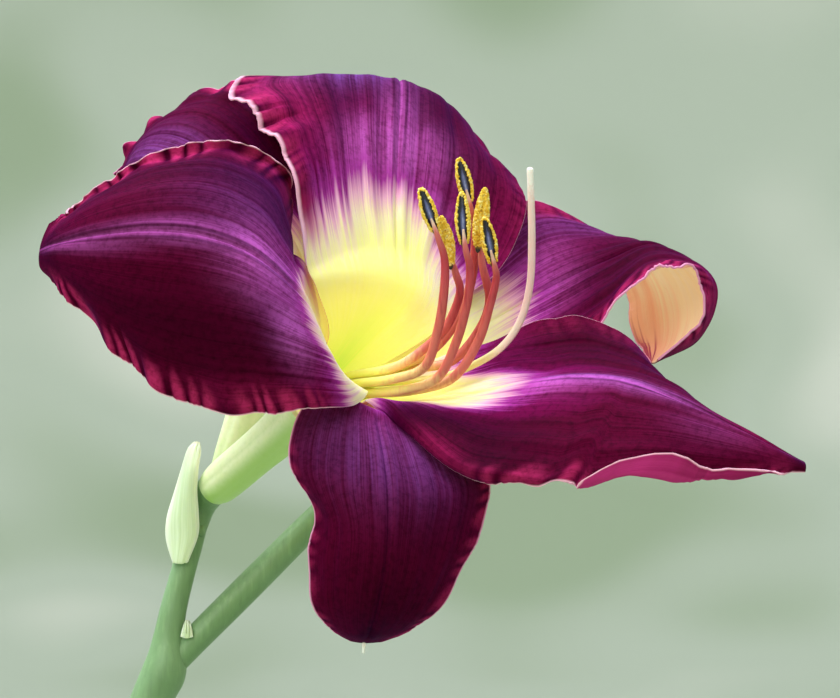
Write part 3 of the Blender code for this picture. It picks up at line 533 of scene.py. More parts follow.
class Value:
    """A number, colour, place or shape in a node tree: a node's output, and what is worked out from it."""

    def __init__(self, tree, kind, output, inputs=None, **options):
        self.tree = tree
        self.node = add(tree, kind, inputs, **options)
        self.socket = self.node.outputs[output]

    def math(self, operation, *others):
        inputs = dict(enumerate((self, *others)))
        return Value(self.tree, "ShaderNodeMath", 0, inputs, operation=operation)

    def __add__(self, other):
        return self.math("ADD", other)

    def __sub__(self, other):
        return self.math("SUBTRACT", other)

    def __mul__(self, other):
        return self.math("MULTIPLY", other)

    def span(self, low, high, to_low=0.0, to_high=1.0):
        """The value brought smoothly from one range to another."""
        inputs = {"Value": self, "From Min": low, "From Max": high, "To Min": to_low, "To Max": to_high}
        return Value(self.tree, "ShaderNodeMapRange", "Result", inputs, interpolation_type="SMOOTHSTEP")

    def shaken(self, cloud, most):
        """The value moved up and down by a noise, by no more than most."""
        return self + cloud.span(0.3, 0.7, -most, most)

    def ramp(self, stops, interpolation="EASE"):
        """The colour of this value among stops, each a value and a colour."""
        made = Value(self.tree, "ShaderNodeValToRGB", "Color", {"Fac": self})
        band = made.node.color_ramp
        band.interpolation = interpolation
        while len(band.elements) < len(stops):
            band.elements.new(0.5)
        for element, (place, code) in zip(band.elements, stops):
            element.position = place
            element.color = colour(code)
        return made

    def between(self, first, second, kind="MIX"):
        """A mixture of two colours: the first where this value is 0, and the second where it is 1."""
        inputs = {"Factor": self, COLOUR_A: first, COLOUR_B: second}
        return Value(self.tree, "ShaderNodeMix", COLOUR_RESULT, inputs, data_type="RGBA", blend_type=kind)

    def stretched(self, scale, shift=(0.0, 0.0, 0.0)):
        inputs = {"Vector": self, "Scale": scale, "Location": shift}
        return Value(self.tree, "ShaderNodeMapping", "Vector", inputs)

    def noise(self, scale, detail=2.0, roughness=0.5):
        inputs = {"Vector": self, "Scale": scale, "Detail": detail, "Roughness": roughness}
        return Value(self.tree, "ShaderNodeTexNoise", "Fac", inputs)

    def streaks(self, scale, detail=2.0, roughness=0.5):
        """Noise drawn out along a piece."""
        return self.stretched(scale).noise(1.0, detail, roughness)

    def to(self, node, socket):
        self.tree.links.new(self.socket, node.inputs[socket])


def field(tree, name):
    return Value(tree, "ShaderNodeAttribute", "Fac", attribute_name=name)


def object_place(tree):
    return Value(tree, "ShaderNodeTexCoord", "Object")


def blade_place(tree):
    return Value(tree, "ShaderNodeUVMap", "UV", uv_map="blade")


def dress(shader, face, height, strength, distance):
    """The shader's colour, and bumps from a height of 0 to 1, with their depth in metres."""
    face.to(shader, "Base Color")
    inputs = {"Height": height, "Strength": strength, "Distance": distance}
    Value(face.tree, "ShaderNodeBump", "Normal", inputs).to(shader, "Normal")


# A tepal's upper face from the throat out, and the tones of its soft pink places, of its painted mauve and
# bluish sheen, and of its painted shade.
TEPAL_UPPER = (
    (0.0, "d2ec68"),
    (0.18, "eef680"),
    (0.38, "fcf296"),
    (0.47, "fae2b8"),
    (0.54, "e6aac4"),
    (0.61, "a43494"),
    (0.72, "720846"),
    (1.0, "520424"),
)
TONES = {"shade": "2c0010", "blush": "b0205e", "painted_mauve_sheen": "d264c8", "painted_blue_sheen": "7c4ea6"}


def tepal_material(name, under, margin, rim, rim_width):
    """Living tepal: colour zones out of the throat, streaks along its veins, gathers and a pale rim, with
    painted sheen, shade and glow.
    """
    settings = {
        "Roughness": 0.6,
        "IOR": 1.1,
        "Specular IOR Level": 0.15,
        "Sheen Weight": 0.09,
        "Sheen Roughness": 0.5,
        "Sheen Tint": colour("7038e8"),
        "Subsurface Radius": (1.0, 0.9, 0.3),
        "Subsurface Scale": 0.0016,
    }
    material, tree, shader = new_material(name, settings)
    tones = {label: colour(code) for label, code in TONES.items()}
    spot, place = object_place(tree), blade_place(tree)
    veins = place.streaks((30.0, 0.9, 1.0), 3.0, 0.62)
    fine = place.streaks((110.0, 3.0, 1.0), 2.0, 0.6)
    cloud = place.streaks((3.0, 4.0, 1.0))
    # The zones from the throat out, and in the wine the soft pink places, the painted mauve and bluish sheen
    # and the painted shade.
    zone = field(tree, "zone").shaken(veins, 0.04).shaken(fine, 0.018)
    wine = zone.span(0.56, 0.68)
    streak = veins.span(0.66, 0.36, 0.5, 1.0) * fine.span(0.68, 0.4, 0.65, 1.0)
    face = (field(tree, "shade") * wine).between(zone.ramp(TEPAL_UPPER, "LINEAR"), tones["shade"])
    for label in ("blush", "painted_mauve_sheen", "painted_blue_sheen"):
        face = (field(tree, label) * wine * streak).between(face, tones[label])
    # The rib: a painted highlight in the mauve sheen tone along it, and painted shade in the crease on either
    # side.
    rib = field(tree, "rib")
    face = (rib.span(0.024, 0.012) * wine * 0.28).between(face, tones["painted_mauve_sheen"])
    crease = rib.span(0.022, 0.034) * rib.span(0.05, 0.036)
    face = (crease * wine * 0.55).between(face, tones["shade"])
    # The margins' pink bands, with a painted highlight on the crests of the gathers and painted shade in the
    # pits between them.
    folds = (field(tree, "gather").shaken(cloud, 0.3) * math.pi).math("SINE").math("ABSOLUTE")
    crimp = (folds - 0.6) * field(tree, "crimp")
    near = field(tree, "inward").shaken(cloud, 0.15) + crimp * -0.5
    pink_band_and_painted_relief = crimp.span(-0.35, 0.45).between(colour(margin[0]), colour(margin[1]))
    pink_band_and_painted_relief = crimp.span(-0.15, -0.5, 0.0, 0.85).between(pink_band_and_painted_relief, tones["shade"])
    face = (near.span(1.0, 0.15) * field(tree, "band")).between(face, pink_band_and_painted_relief)
    # Veins and the velvet of fine cells.
    dark = veins.span(0.42, 0.7, 0.0, 0.2) * field(tree, "open")
    face = dark.between(face, colour("8a3a5c"), "MULTIPLY")
    dark = fine.span(0.45, 0.7, 0.0, 0.3) + spot.noise(1100.0, 3.0, 0.7).span(0.4, 0.7, 0.0, 0.4)
    face = (dark * wine).between(face, colour("7c3050"), "MULTIPLY")
    # The under face, and the rim.
    back = field(tree, "back").shaken(veins, 0.06).ramp(under)
    face = field(tree, "under").between(face, back)
    broad = field(tree, "rim") * rim_width
    face = field(tree, "edge").span(broad, broad * 0.15).between(face, colour(rim))
    dress(shader, face, veins * 0.9 + fine * 0.9 + spot.noise(2600.0) * 0.25, 0.4, 0.0002)
    # Light that comes through the pale throat and the thin blade, and a painted glow: the throat and the
    # under face give off their own colour.
    field(tree, "zone").span(0.7, 0.45, 0.04, 0.75).to(shader, "Subsurface Weight")
    face.to(shader, "Emission Color")
    painted_light = field(tree, "zone").span(0.5, 0.2, 0.0, 0.3) + field(tree, "under") * 0.1
    painted_light.to(shader, "Emission Strength")
    return material


def soft_places(places, u, v):
    """The strength of soft oval places on a blade, where the strongest one at each point counts."""
    strength = np.zeros_like(u)
    for along, across, long, broad, share in places:
        far = np.hypot((u - along) / long, (v - across) / broad)
        strength = np.maximum(strength, share * np.exp(-1.1 * far**2.4))
    return strength


def tepal(name, blade, funnel, material, slot):
    points, u, v, edge, place, gathers = blade_sheet(blade, funnel)
    thin = np.maximum(np.abs(v) ** 2.2, u**8)
    thickness = RIB_THICKNESS + (MARGIN_THICKNESS - RIB_THICKNESS) * thin
    reach, low_slope, high_slope, low_drop, high_drop = blade["throat"]
    slope = high_slope + (low_slope - high_slope) * ease(0.5 - 1.2 * v)
    away = u - reach + np.where(v < 0, low_drop, high_drop) * ease((np.abs(v) - 0.2) / 0.4)
    # No margin shows in the funnel.
    edge = edge + 30 * ease((0.2 - u) / 0.1)
    strength, width = (np.where(v < 0, *pair) for pair in zip(*blade["bands"]))
    opened = ease((u - COLOURS_START) / 0.15)
    ribless = 0.0 if slot == "petal" else 1.0
    fields = {
        "zone": 0.5 + away * np.where(away < 0, THROAT_SLOPE, slope),
        "edge": edge,
        "inward": edge / width,
        "gather": place,
        "crimp": gathers,
        "open": opened,
        "band": strength * opened * (1 - 0.85 * ease((u - 0.93) / 0.05)),
        "rib": np.abs(v) * np.interp(u, (0, 0.3, 1), (1, 1, 0.55)) + ribless,
        "rim": np.where(v < 0, *blade["rims"]) * ease((u - COLOURS_START) / 0.08),
        "back": np.clip(0.15 + 0.6 * u + 0.35 * np.abs(v) ** 2, 0, 1),
        "under": np.array((0.0, 1.0))[:, None, None],
    }
    # Soft pink places, places of painted mauve and bluish sheen, and places of painted shade.
    for label, places in (("blush", "blushes"), ("painted_mauve_sheen", "painted_mauve_sheens"), ("painted_blue_sheen", "painted_blue_sheens"), ("shade", "shades")):
        fields[label] = soft_places(blade.get(places, ()), u, v)
    fitted(solid_of_sheet(name, points, u, v, thickness, fields), name, material)


PETAL_UNDER = ((0.0, "d8dc7a"), (0.35, "e0b878"), (0.6, "b86078"), (0.85, "a42c66"), (1.0, "8a1e50"))
SEPAL_UNDER = ((0.0, "f4d848"), (0.35, "fcdc9c"), (0.66, "fde2c4"), (0.9, "f4b49a"), (1.0, "a83860"))
petal_finish = tepal_material("petal", PETAL_UNDER, ("520226", "b42a60"), "eeb0c6", 0.36)
sepal_finish = tepal_material("sepal", SEPAL_UNDER, ("640430", "b42a60"), "e294bc", 0.3)
for name, blade in (("petal_left", PETAL_LEFT), ("petal_top", PETAL_TOP), ("petal_right", PETAL_RIGHT)):
    tepal(name, blade, PETAL_FUNNEL, petal_finish, "petal")
for name, blade in (("sepal_left", SEPAL_LEFT), ("sepal_right", SEPAL_RIGHT), ("sepal_bottom", SEPAL_BOTTOM)):
    tepal(name, blade, SEPAL_FUNNEL, sepal_finish, "sepal")

# The six stamens: a smooth round filament each, lying on the throat's floor and then rising to the light, and
# an anther hung on its tip. A ripe anther has split: its back is a dark polished groove, and pollen in golden
# crumbs covers both its lobes.
FILAMENT_RADII = ((0.0, 0.62), (0.3, 0.7), (0.75, 0.68), (0.92, 0.52), (1.0, 0.16))
# The filaments' feet stand on a ring of this radius. They pass two places as a bundle, and one is lifted.
STAMEN_RING = 1.75
BUNDLE_LOW = np.array((-9.2, -5.3, -12.8))
BUNDLE_HIGH = np.array((-2.6, -4.4, -6.0))
LIFT_WAY = np.array((-0.3, 1.0, -0.3))
THREAD_SIDES = 18
FILAMENT_RINGS = 120
STAMENS = (
    {
        "turn": 60,
        "spread": 2.1,
        "filament": ((0.6, -2.6, -0.6), (2.5, 2.5, 0.8), (3.4, 8, 1.6), (3.5, 12.7, 2), (2.7, 16.2, 2.3)),
        "anther": ((2.4, 16.2, 3.2), (0.1, 22.9, 3.8)),
        "facing": 0,
    },
    {
        "turn": 0,
        "spread": 2.1,
        "filament": ((0.8, 0.2, -5.2), (3.9, 3.4, -4.2), (5.7, 8, -3.4), (5.6, 11, -2.8)),
        "anther": ((4.6, 11.4, -2.2), (3.2, 19, -1.6)),
        "facing": 150,
    },
    {
        "turn": 300,
        "spread": 3.0,
        "filament": ((2.2, 0.2, -8.4), (5.8, 5, -7.8), (7.6, 11, -6.6), (7.9, 17, -5.6), (7.4, 20.6, -5)),
        "anther": ((7.2, 20.4, -4), (5.6, 27.4, -3.4)),
        "facing": 0,
    },
    {
        "turn": 120,
        "spread": 2.1,
        "filament": ((2.4, -4.2, -1.6), (5.1, 0.8, -0.4), (6.8, 7, 0.6), (7.1, 11.6, 1.2), (6.7, 14.8, 1.6)),
        "anther": ((6.3, 14.2, 2.5), (5.9, 22.3, 3.1)),
        "facing": -12,
    },
    {
        "turn": 240,
        "spread": 3.0,
        "lift": 1.5,
        "filament": ((4.6, -1.7, -7.6), (8.4, 2.5, -6.8), (10.0, 7, -5.8), (9.7, 11.2, -5.0)),
        "anther": ((8.2, 13.8, -3.7), (9.3, 23.1, -3.1)),
        "facing": 190,
    },
    {
        "turn": 180,
        "spread": 2.1,
        "filament": (
            (4.6, -4.2, -3.2),
            (8.2, 0.8, -2.6),
            (10, 6.2, -2),
            (10.9, 10, -1.5),
            (10.8, 12.4, -1.2),
        ),
        "anther": ((10.6, 11.6, -0.3), (9.2, 18.8, 0.3)),
        "facing": 8,
    },
)
# Half of the anther's outline across: the groove of its back, the crest beside that, and the pollen side.
ANTHER_HALF = (
    (0.3, 0.1), (0.56, 0.26), (0.74, 0.42), (0.95, 0.2), (0.98, -0.15), (0.74, -0.5), (0.36, -0.56),
)
ANTHER_OUTLINE = ((0, 0.06), *ANTHER_HALF, (0, -0.34), *((-x, y) for x, y in ANTHER_HALF[::-1]))
ANTHER_WIDTH = 1.02
ANTHER_DEPTH = 0.95
ANTHER_GIRTH = 48
ANTHER_RINGS = 44
# How far out the rings stand that round off a thread's ends, from 0 at the end to 1 at its crown.
ROUND_ENDS = (0.45, 0.8, 0.96)
# What the tree that strews the pollen is given: the grains' radius in metres, how many, and the draw's seed.
# The grains then run between two shares of that radius.
GRAINS = {"Grain radius": 0.00016, "Grains per square metre": 3.6e7, "Seed": 7}
GRAIN_SMALLEST = 0.55
GRAIN_LARGEST = 1.5
# A Random Value node's sockets for a plain number, counted from its first.
RANDOM_MIN = 2
RANDOM_MAX = 3
RANDOM_RESULT = 1


def frames_along(way):
    """Two directions across a path at each of its points, carried along it without twist."""
    tangents = unit(np.gradient(way, axis=0))
    side = np.cross(tangents[0], (0.31, 0.85, 0.42))
    sides = []
    for tangent in tangents:
        side = unit(side - tangent * (side @ tangent))
        sides.append(side)
    sides = np.array(sides)
    return sides, np.cross(tangents, sides)


def skin(name, rings, fields):
    """A closed piece through rings of points in metres, with a point that closes each end."""
    rings = np.asarray(rings)
    count, sides = rings.shape[:2]
    ring = np.arange(sides)
    after = np.roll(ring, -1)
    foot, tip = count * sides, count * sides + 1
    last = foot - sides
    faces = []
    for j, k in zip(ring.tolist(), after.tolist()):
        faces.extend(((foot, k, j), (tip, last + j, last + k)))
    for start in range(0, last, sides):
        quads = np.stack((start + ring, start + after, start + sides + after, start + sides + ring), 1)
        faces.extend(quads.tolist())
    points = np.concatenate((rings.reshape(-1, 3), rings[[0, -1]].mean(axis=1)))
    kept = {}
    for label, values in fields.items():
        values = np.broadcast_to(values, (count, sides)).reshape(-1)
        kept[label] = np.append(values, values[[0, -1]])
    return new_piece(name, points, faces, kept)


def path_circles(way, sides, steps):
    """A smooth path through points with radii, and directions all round it at each of its steps."""
    way = curve_at(np.asarray(way, float), np.linspace(0, len(way) - 1, steps))
    across, over = frames_along(way[:, :3])
    turns = np.arange(sides) * 2 * math.pi / sides
    circle = np.cos(turns)[None, :, None] * across[:, None] + np.sin(turns)[None, :, None] * over[:, None]
    return way, circle


def thread(name, way, sides, steps, fields=None):
    """A round body along a smooth path of bloom points with radii, its ends rounded off."""
    way, circle = path_circles(way, sides, steps)
    start, end = unit(way[0, :3] - way[1, :3]), unit(way[-1, :3] - way[-2, :3])
    rings = [way[i, None, :3] + way[i, 3] * circle[i] for i in range(steps)]
    for share in ROUND_ENDS:
        drop = math.sqrt(1 - share * share)
        rings.insert(0, way[0, None, :3] + way[0, 3] * (drop * circle[0] + 0.7 * share * start))
        rings.append(way[-1, None, :3] + way[-1, 3] * (drop * circle[-1] + 0.7 * share * end))
    ends = np.zeros(len(ROUND_ENDS))
    values = np.concatenate((ends, np.linspace(0, 1, steps), ends + 1))[:, None]
    extra = {label: np.interp(values, *zip(*stops)) for label, stops in (fields or {}).items()}
    return skin(name, from_bloom(rings), {"along": values, **extra})


def with_radii(points, stops):
    """A path's points, each with a radius that depends on its share of the path's length."""
    length = np.concatenate(((0,), np.cumsum(np.linalg.norm(np.diff(points, axis=0), axis=1))))
    return np.column_stack((points, np.interp(length / length[-1], *zip(*stops))))


def stamen_way(stamen):
    """The filament's path from the tube's mouth to the back of its anther, with a radius at each point."""
    foot = around_axis(0, STAMEN_RING, stamen["turn"])
    out = foot - THROAT
    high = BUNDLE_HIGH + out * stamen["spread"] / STAMEN_RING + stamen.get("lift", 0.0) * LIFT_WAY
    rise = [np.array(point, float) for point in stamen["filament"]]
    low, tip = (np.array(point, float) for point in stamen["anther"])
    # Its end swings in behind the anther, and meets its back a third of the way up.
    front = 1 if abs(stamen["facing"]) < 90 else -1
    rise[-1] = 0.5 * rise[-1] + 0.5 * (low + (0, -0.6, 1.0 * front))
    rise.append(low + 0.34 * (tip - low) + (0, 0, 0.42 * front))
    return with_radii(np.array([foot, BUNDLE_LOW + out, high, *rise]), FILAMENT_RADII)


def anther_rings(stamen):
    """The split anther's rings, and for each point how golden it is and how near the middle of its back."""
    low, tip = (np.array(point, float) for point in stamen["anther"])
    way = unit(tip - low)
    side = unit(np.cross((0.0, 0.0, 1.0), way))
    back = np.cross(way, side)
    turn = math.radians(stamen["facing"])
    cosine, sine = math.cos(turn), math.sin(turn)
    side, back = cosine * side + sine * back, cosine * back - sine * side
    loop = np.array(ANTHER_OUTLINE + ANTHER_OUTLINE[:1], float)
    loop = np.concatenate((loop[-3:-1], loop, loop[1:3]))
    outline = curve_at(loop, 2 + np.arange(ANTHER_GIRTH) * len(ANTHER_OUTLINE) / ANTHER_GIRTH)
    # Blunt at both ends, fullest beyond its middle, and curled back a little.
    along = np.linspace(0, 1, ANTHER_RINGS)
    full = np.maximum(np.sin(math.pi * np.clip(along, 0.001, 0.999)) ** 0.42, 0.12)
    full = full * (0.82 + 0.18 * ease(along / 0.5) - 0.12 * ease((along - 0.5) / 0.5))
    curl = 0.35 * (2 * along - 1) ** 2
    rings = (
        (low + along[:, None] * (tip - low) - curl[:, None] * back)[:, None]
        + ANTHER_WIDTH * full[:, None, None] * outline[None, :, :1] * side
        + ANTHER_DEPTH * full[:, None, None] * outline[None, :, 1:] * back
    )
    # Pollen covers both lobes and the tip, and leaves the groove of the back and the foot bare.
    gold = ease((np.abs(outline[:, 0]) - 0.66) / 0.1) + ease((-outline[:, 1] - 0.05) / 0.1)
    gold = np.clip(gold[None, :] + ease((along[:, None] - 0.93) / 0.04), 0, 1)
    gold = gold * ease((along[:, None] - 0.04) / 0.12)
    middle = np.clip(1 - np.abs(outline[:, 0]) / 0.55, 0, 1)[None, :] * (outline[:, 1] > -0.1)[None, :]
    return rings, gold, middle * ease((1 - along[:, None]) / 0.5)


def flesh_material(name, roughness, weight, radius, scale, others=()):
    """A material of living tissue that light sinks into a little."""
    settings = {
        "Roughness": roughness,
        "Specular IOR Level": 0.4,
        "Subsurface Weight": weight,
        "Subsurface Radius": radius,
        "Subsurface Scale": scale,
    }
    settings.update(others)
    return new_material(name, settings)


def filament_material():
    material, tree, shader = flesh_material("filament", 0.42, 0.3, (1.0, 0.4, 0.3), 0.0008)
    streak = object_place(tree).streaks((2200.0, 2200.0, 260.0))
    along = field(tree, "along").shaken(streak, 0.02)
    stops = (
        (0.0, "e8ec70"),
        (0.22, "f6f08c"),
        (0.31, "f4cc8c"),
        (0.42, "d26c5e"),
        (0.74, "ba3c48"),
        (0.90, "d46c6c"),
        (0.965, "eec8b4"),
    )
    dark = streak.span(0.45, 0.75, 0.0, 0.35) * along.span(0.4, 0.6)
    dress(shader, dark.between(along.ramp(stops), colour("a52c3c"), "MULTIPLY"), streak, 0.35, 0.00008)
    return material


def anther_material():
    material, tree, shader = new_material("anther_back", {"Roughness": 0.26, "Specular IOR Level": 0.7})
    mottle = object_place(tree).noise(1500.0, 3.0)
    # The back: its own near black, with a painted blue-grey highlight down the middle of the groove.
    painted_light = field(tree, "middle") * mottle.span(0.2, 0.8, 0.7, 1.0)
    back = painted_light.ramp(((0.0, "0a070c"), (0.25, "1c1930"), (0.6, "5a5f92"), (1.0, "a4aad6")))
    gold = mottle.ramp(((0.3, "c8962a"), (0.7, "e8bc44")))
    dress(shader, field(tree, "gold").between(back, gold), mottle, 0.4, 0.00006)
    field(tree, "gold").span(0.2, 0.8, 0.26, 0.9).to(shader, "Roughness")
    return material


def pollen_material():
    material, tree, shader = new_material("pollen", {"Roughness": 0.85, "Specular IOR Level": 0.2})
    spot = object_place(tree)
    golden = spot.noise(1900.0).ramp(((0.3, "e0ae2c"), (0.5, "f6d24e"), (0.7, "fff0a0")))
    dress(shader, golden, spot.noise(9000.0, 1.0), 0.6, 0.00003)
    return material


def grain_tree(material):
    """Strews small round grains over the golden part of a surface, realised at the end."""
    tree = bpy.data.node_groups.new("pollen_grains", "GeometryNodeTree")
    tree.interface.new_socket("Anthers", in_out="INPUT", socket_type="NodeSocketGeometry")
    values = {}
    for label, value in GRAINS.items():
        kind = "NodeSocketInt" if isinstance(value, int) else "NodeSocketFloat"
        socket = tree.interface.new_socket(label, in_out="INPUT", socket_type=kind)
        values[socket.identifier] = value
    tree.interface.new_socket("Grains", in_out="OUTPUT", socket_type="NodeSocketGeometry")
    given = {label: Value(tree, "NodeGroupInput", label) for label in ("Anthers", *GRAINS)}
    seed = given["Seed"]
    golden = Value(tree, "GeometryNodeInputNamedAttribute", "Attribute", {"Name": "gold"}, data_type="FLOAT")
    strewing = {
        "Mesh": given["Anthers"],
        "Selection": golden.math("GREATER_THAN", 0.5),
        "Density": given["Grains per square metre"],
        "Seed": seed,
    }
    points = Value(tree, "GeometryNodeDistributePointsOnFaces", "Points", strewing)
    grain = Value(tree, "GeometryNodeMeshIcoSphere", "Mesh", {"Radius": given["Grain radius"]})
    sizes = {RANDOM_MIN: GRAIN_SMALLEST, RANDOM_MAX: GRAIN_LARGEST, "Seed": seed}
    size = Value(tree, "FunctionNodeRandomValue", RANDOM_RESULT, sizes, data_type="FLOAT")
    placing = {"Points": points, "Instance": grain, "Scale": size}
    shape = Value(tree, "GeometryNodeInstanceOnPoints", "Instances", placing)
    tree.links.new(points.node.outputs["Rotation"], shape.node.inputs["Rotation"])
    shape = Value(tree, "GeometryNodeRealizeInstances", "Geometry", {"Geometry": shape})
    shape = Value(tree, "GeometryNodeSetShadeSmooth", "Geometry", {"Geometry": shape})
    shape = Value(tree, "GeometryNodeSetMaterial", "Geometry", {"Geometry": shape, "Material": material})
    shape.to(add(tree, "NodeGroupOutput"), "Grains")
    return tree, values


def made_plain(piece, tree, values):
    """Runs a Geometry Nodes tree on a piece and keeps only its result, as a plain mesh."""
    step = piece.modifiers.new(tree.name, "NODES")
    step.node_group = tree
    for identifier, value in values.items():
        step[identifier] = value
    graph = bpy.context.evaluated_depsgraph_get()
    mesh = bpy.data.meshes.new_from_object(piece.evaluated_get(graph))
    piece.modifiers.clear()
    piece.data = mesh
    return piece


def joined(name, pieces):
    """Several meshes as one piece."""
    work = bmesh.new()
    for piece in pieces:
        work.from_mesh(piece.data)
    mesh = bpy.data.meshes.new(name)
    work.to_mesh(mesh)
    work.free()
    return linked(name, mesh)


filament_finish = filament_material()
anther_finish = anther_material()
anthers = []
for index, stamen in enumerate(STAMENS, start=1):
    filament = thread(f"filament_{index}", stamen_way(stamen), THREAD_SIDES, FILAMENT_RINGS)
    fitted(filament, f"filament_{index}", filament_finish)
    rings, gold, middle = anther_rings(stamen)
    body = skin(f"anther_{index}", from_bloom(rings), {"gold": gold, "middle": middle})
    anthers.append(fitted(body, f"anther_{index}", anther_finish))

pollen = made_plain(joined("pollen", anthers), *grain_tree(pollen_material()))
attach(pollen, "root")

# The style: one long smooth thread that runs down the throat under the stamens, bends up past them and ends
# in a small pale stigma, three lobed and a little sticky.
STYLE_RADII = ((0.0, 0.5), (0.3, 0.52), (0.8, 0.54), (0.95, 0.5), (0.985, 0.56), (1.0, 0.5))
STYLE_RINGS = 170
STYLE_WAY = (
    (-15.0, -7.6, -20.0),
    (-9.2, -5.3, -12.8),
    (-2.6, -4.7, -8.4),
    (3.6, -3.9, -7.4),
    (9.4, -1.4, -5.9),
    (12.6, 1.2, -4.9),
    (14.7, 4.8, -3.8),
    (15.8, 9.6, -2.6),
    (16, 15, -1.2),
    (15.9, 20.5, 0),
    (15.7, 25.6, 1),
)


def style_material():
    material, tree, shader = flesh_material("style", 0.35, 0.4, (1.0, 0.6, 0.5), 0.0009)
    grain = object_place(tree).noise(1800.0)
    stops = (
        (0.0, "e4e46a"),
        (0.36, "f0ea9a"),
        (0.5, "f3dccb"),
        (0.7, "efc8c4"),
        (0.9, "f0d2cc"),
        (0.98, "fbf2ec"),
    )
    dress(shader, field(tree, "along").shaken(grain, 0.015).ramp(stops), grain, 0.3, 0.00005)
    return material


style_finish = style_material()
style = thread("style", with_radii(np.array(STYLE_WAY), STYLE_RADII), THREAD_SIDES, STYLE_RINGS)
fitted(style, "style", style_finish)

# The little pale point that the hanging sepal ends in, where its ribs run together.
SEPAL_POINT = (
    (-7.9, -41.1, 7.5, 0.32),
    (-7.95, -41.8, 7.5, 0.28),
    (-8, -42.5, 7.45, 0.2),
    (-8, -42.9, 7.4, 0.24),
)
sepal_point = thread("sepal_point", SEPAL_POINT, 12, 16, {"along": ((0, 0.94), (1, 1))})
sepal_point.data.materials.append(style_finish)
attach(sepal_point, "root")

# The flower's tube, and the two closed buds beside it: pale green flesh, faintly ribbed where the tepals'
# edges meet. The tube narrows to its foot on the stem and opens to the throat.
RIBS = 6
TUBE_LENGTH = 28.0
TUBE_WIDTHS = ((-TUBE_LENGTH, 2.6), (-25, 3.2), (-15, 3.35), (-8, 3.8), (-3, 4.7), (-0.5, 5.3))
SIDE_BUD_WAY = (
    (-30.93, -21.1, -43.68, 1.4),
    (-29, -16.6, -45.1, 2.3),
    (-26.4, -10, -45.5, 3),
    (-24, -2, -46.5, 3.5),
    (-22.2, 5, -47, 3.1),
    (-21.2, 10.5, -47, 1.7),
    (-20.8, 12.6, -47, 0.5),
)
BRANCH_BUD_WAY = (
    (-12.03, -21.93, -42.05, 1.85),
    (-9.2, -18.8, -42.6, 2.6),
    (-5.4, -15, -43.2, 3.1),
    (-1.8, -11.5, -43.7, 2.6),
    (0.6, -9.2, -44, 1.5),
    (1.6, -8.2, -44.1, 0.5),
)


def ribbed(name, way, sides, steps, depth):
    """A round body along a path, with six shallow furrows down its length that fade out at both ends."""
    way, circle = path_circles(way, sides, steps)
    along = np.linspace(0, 1, steps)[:, None]
    turns = np.arange(sides) * 2 * math.pi / sides
    furrow = np.abs(np.sin(0.5 * RIBS * turns))[None, :] ** 0.6
    furrow = 1 - depth * (1 - furrow) * ease(along / 0.15) * ease((1 - along) / 0.15)
    rings = way[:, None, :3] + (way[:, 3:] * furrow)[..., None] * circle
    return skin(name, from_bloom(rings), {"along": along})


def painted_shade_below(tree, level):
    """How far a surface faces down, from 0 at a level between 1 and -1 to 1 near the lowest, for painted
    shade.
    """
    normal = Value(tree, "ShaderNodeNewGeometry", "Normal")
    return Value(tree, "ShaderNodeSeparateXYZ", "Z", {"Vector": normal}).span(level, -0.75)


def tube_material():
    material, tree, shader = flesh_material("tube", 0.42, 0.35, (0.8, 1.0, 0.4), 0.0012)
    spot = object_place(tree)
    fine = spot.noise(1400.0, 3.0)
    place = field(tree, "along").shaken(spot.noise(160.0), 0.12)
    flesh = place.ramp(((0.0, "dcecb4"), (0.3, "ecf4c6"), (0.7, "f2f8cc"), (1.0, "f8facc")))
    flesh = fine.span(0.4, 0.8, 0.0, 0.2).between(flesh, colour("b4d078"))
    # Painted shade: darker green where the tube faces down.
    flesh = (painted_shade_below(tree, -0.05) * 0.8).between(flesh, colour("90bc50"))
    dress(shader, flesh, fine, 0.3, 0.0001)
    return material


tube_finish = tube_material()
tube_way = [(*(THROAT + along * AXIS), radius) for along, radius in TUBE_WIDTHS]
for name, way, sides, steps, depth in (
    ("flower_tube", tube_way, 72, 90, 0.05),
    ("side_bud", SIDE_BUD_WAY, 48, 80, 0.08),
    ("branch_bud", BRANCH_BUD_WAY, 48, 70, 0.08),
):
    fitted(ribbed(name, way, sides, steps, depth), name, tube_finish)

# The scape: a smooth leafless stem with a waxy bloom on it, cut off at its foot, which stands on the vase's
# floor. It forks near its top into the stalks of the flower, of a bud beside it and of a branch.
SCAPE_IN_VASE = (
    (-16.4, 6.9, 3.3),
    (-8.2, 55, 3.3),
    (0.6, 105, 3.2),
    (9.4, 152, 3.2),
    (17.8, 188, 3.15),
    (28.2, 214, 3.15),
)
SCAPE_ABOVE = (
    (-38.3, -48.2, -39, 3.3),
    (-37.7, -43.4, -39, 2.35),
    (-36.9, -38.8, -39, 2.0),
    (-35.4, -33, -39.3, 1.85),
    (-34.6, -29.6, -39.9, 1.95),
    (-34.0, -26.8, -40.5, 2.05),
    (-33.59, -25.13, -40.78, 2.15),
    (-33.23, -24.03, -40.8, 2.25),
    (-32.74, -23.01, -40.56, 2.35),
    (-32.15, -22.13, -40.09, 2.45),
)
PEDICEL_RADIUS = 2.45
STALK_ENDS = (1.0, 0.3)
BRANCH_WAY = (
    (-36.8, -47, -39, 1.9),
    (-33.2, -43.1, -39.2, 2.1),
    (-28.6, -38.5, -39.8, 2.15),
    (-24.1, -34, -40.4, 2.15),
    (-19.6, -29.5, -41, 2.1),
    (-15.8, -25.7, -41.5, 2.0),
    (-12.3, -22.2, -42, 1.85),
)
SIDE_PEDICEL_WAY = (
    (-33.4, -27.6, -39.4, 1.2),
    (-32.4, -24.6, -41.6, 1.3),
    (-31.1, -21.6, -43.4, 1.4),
)


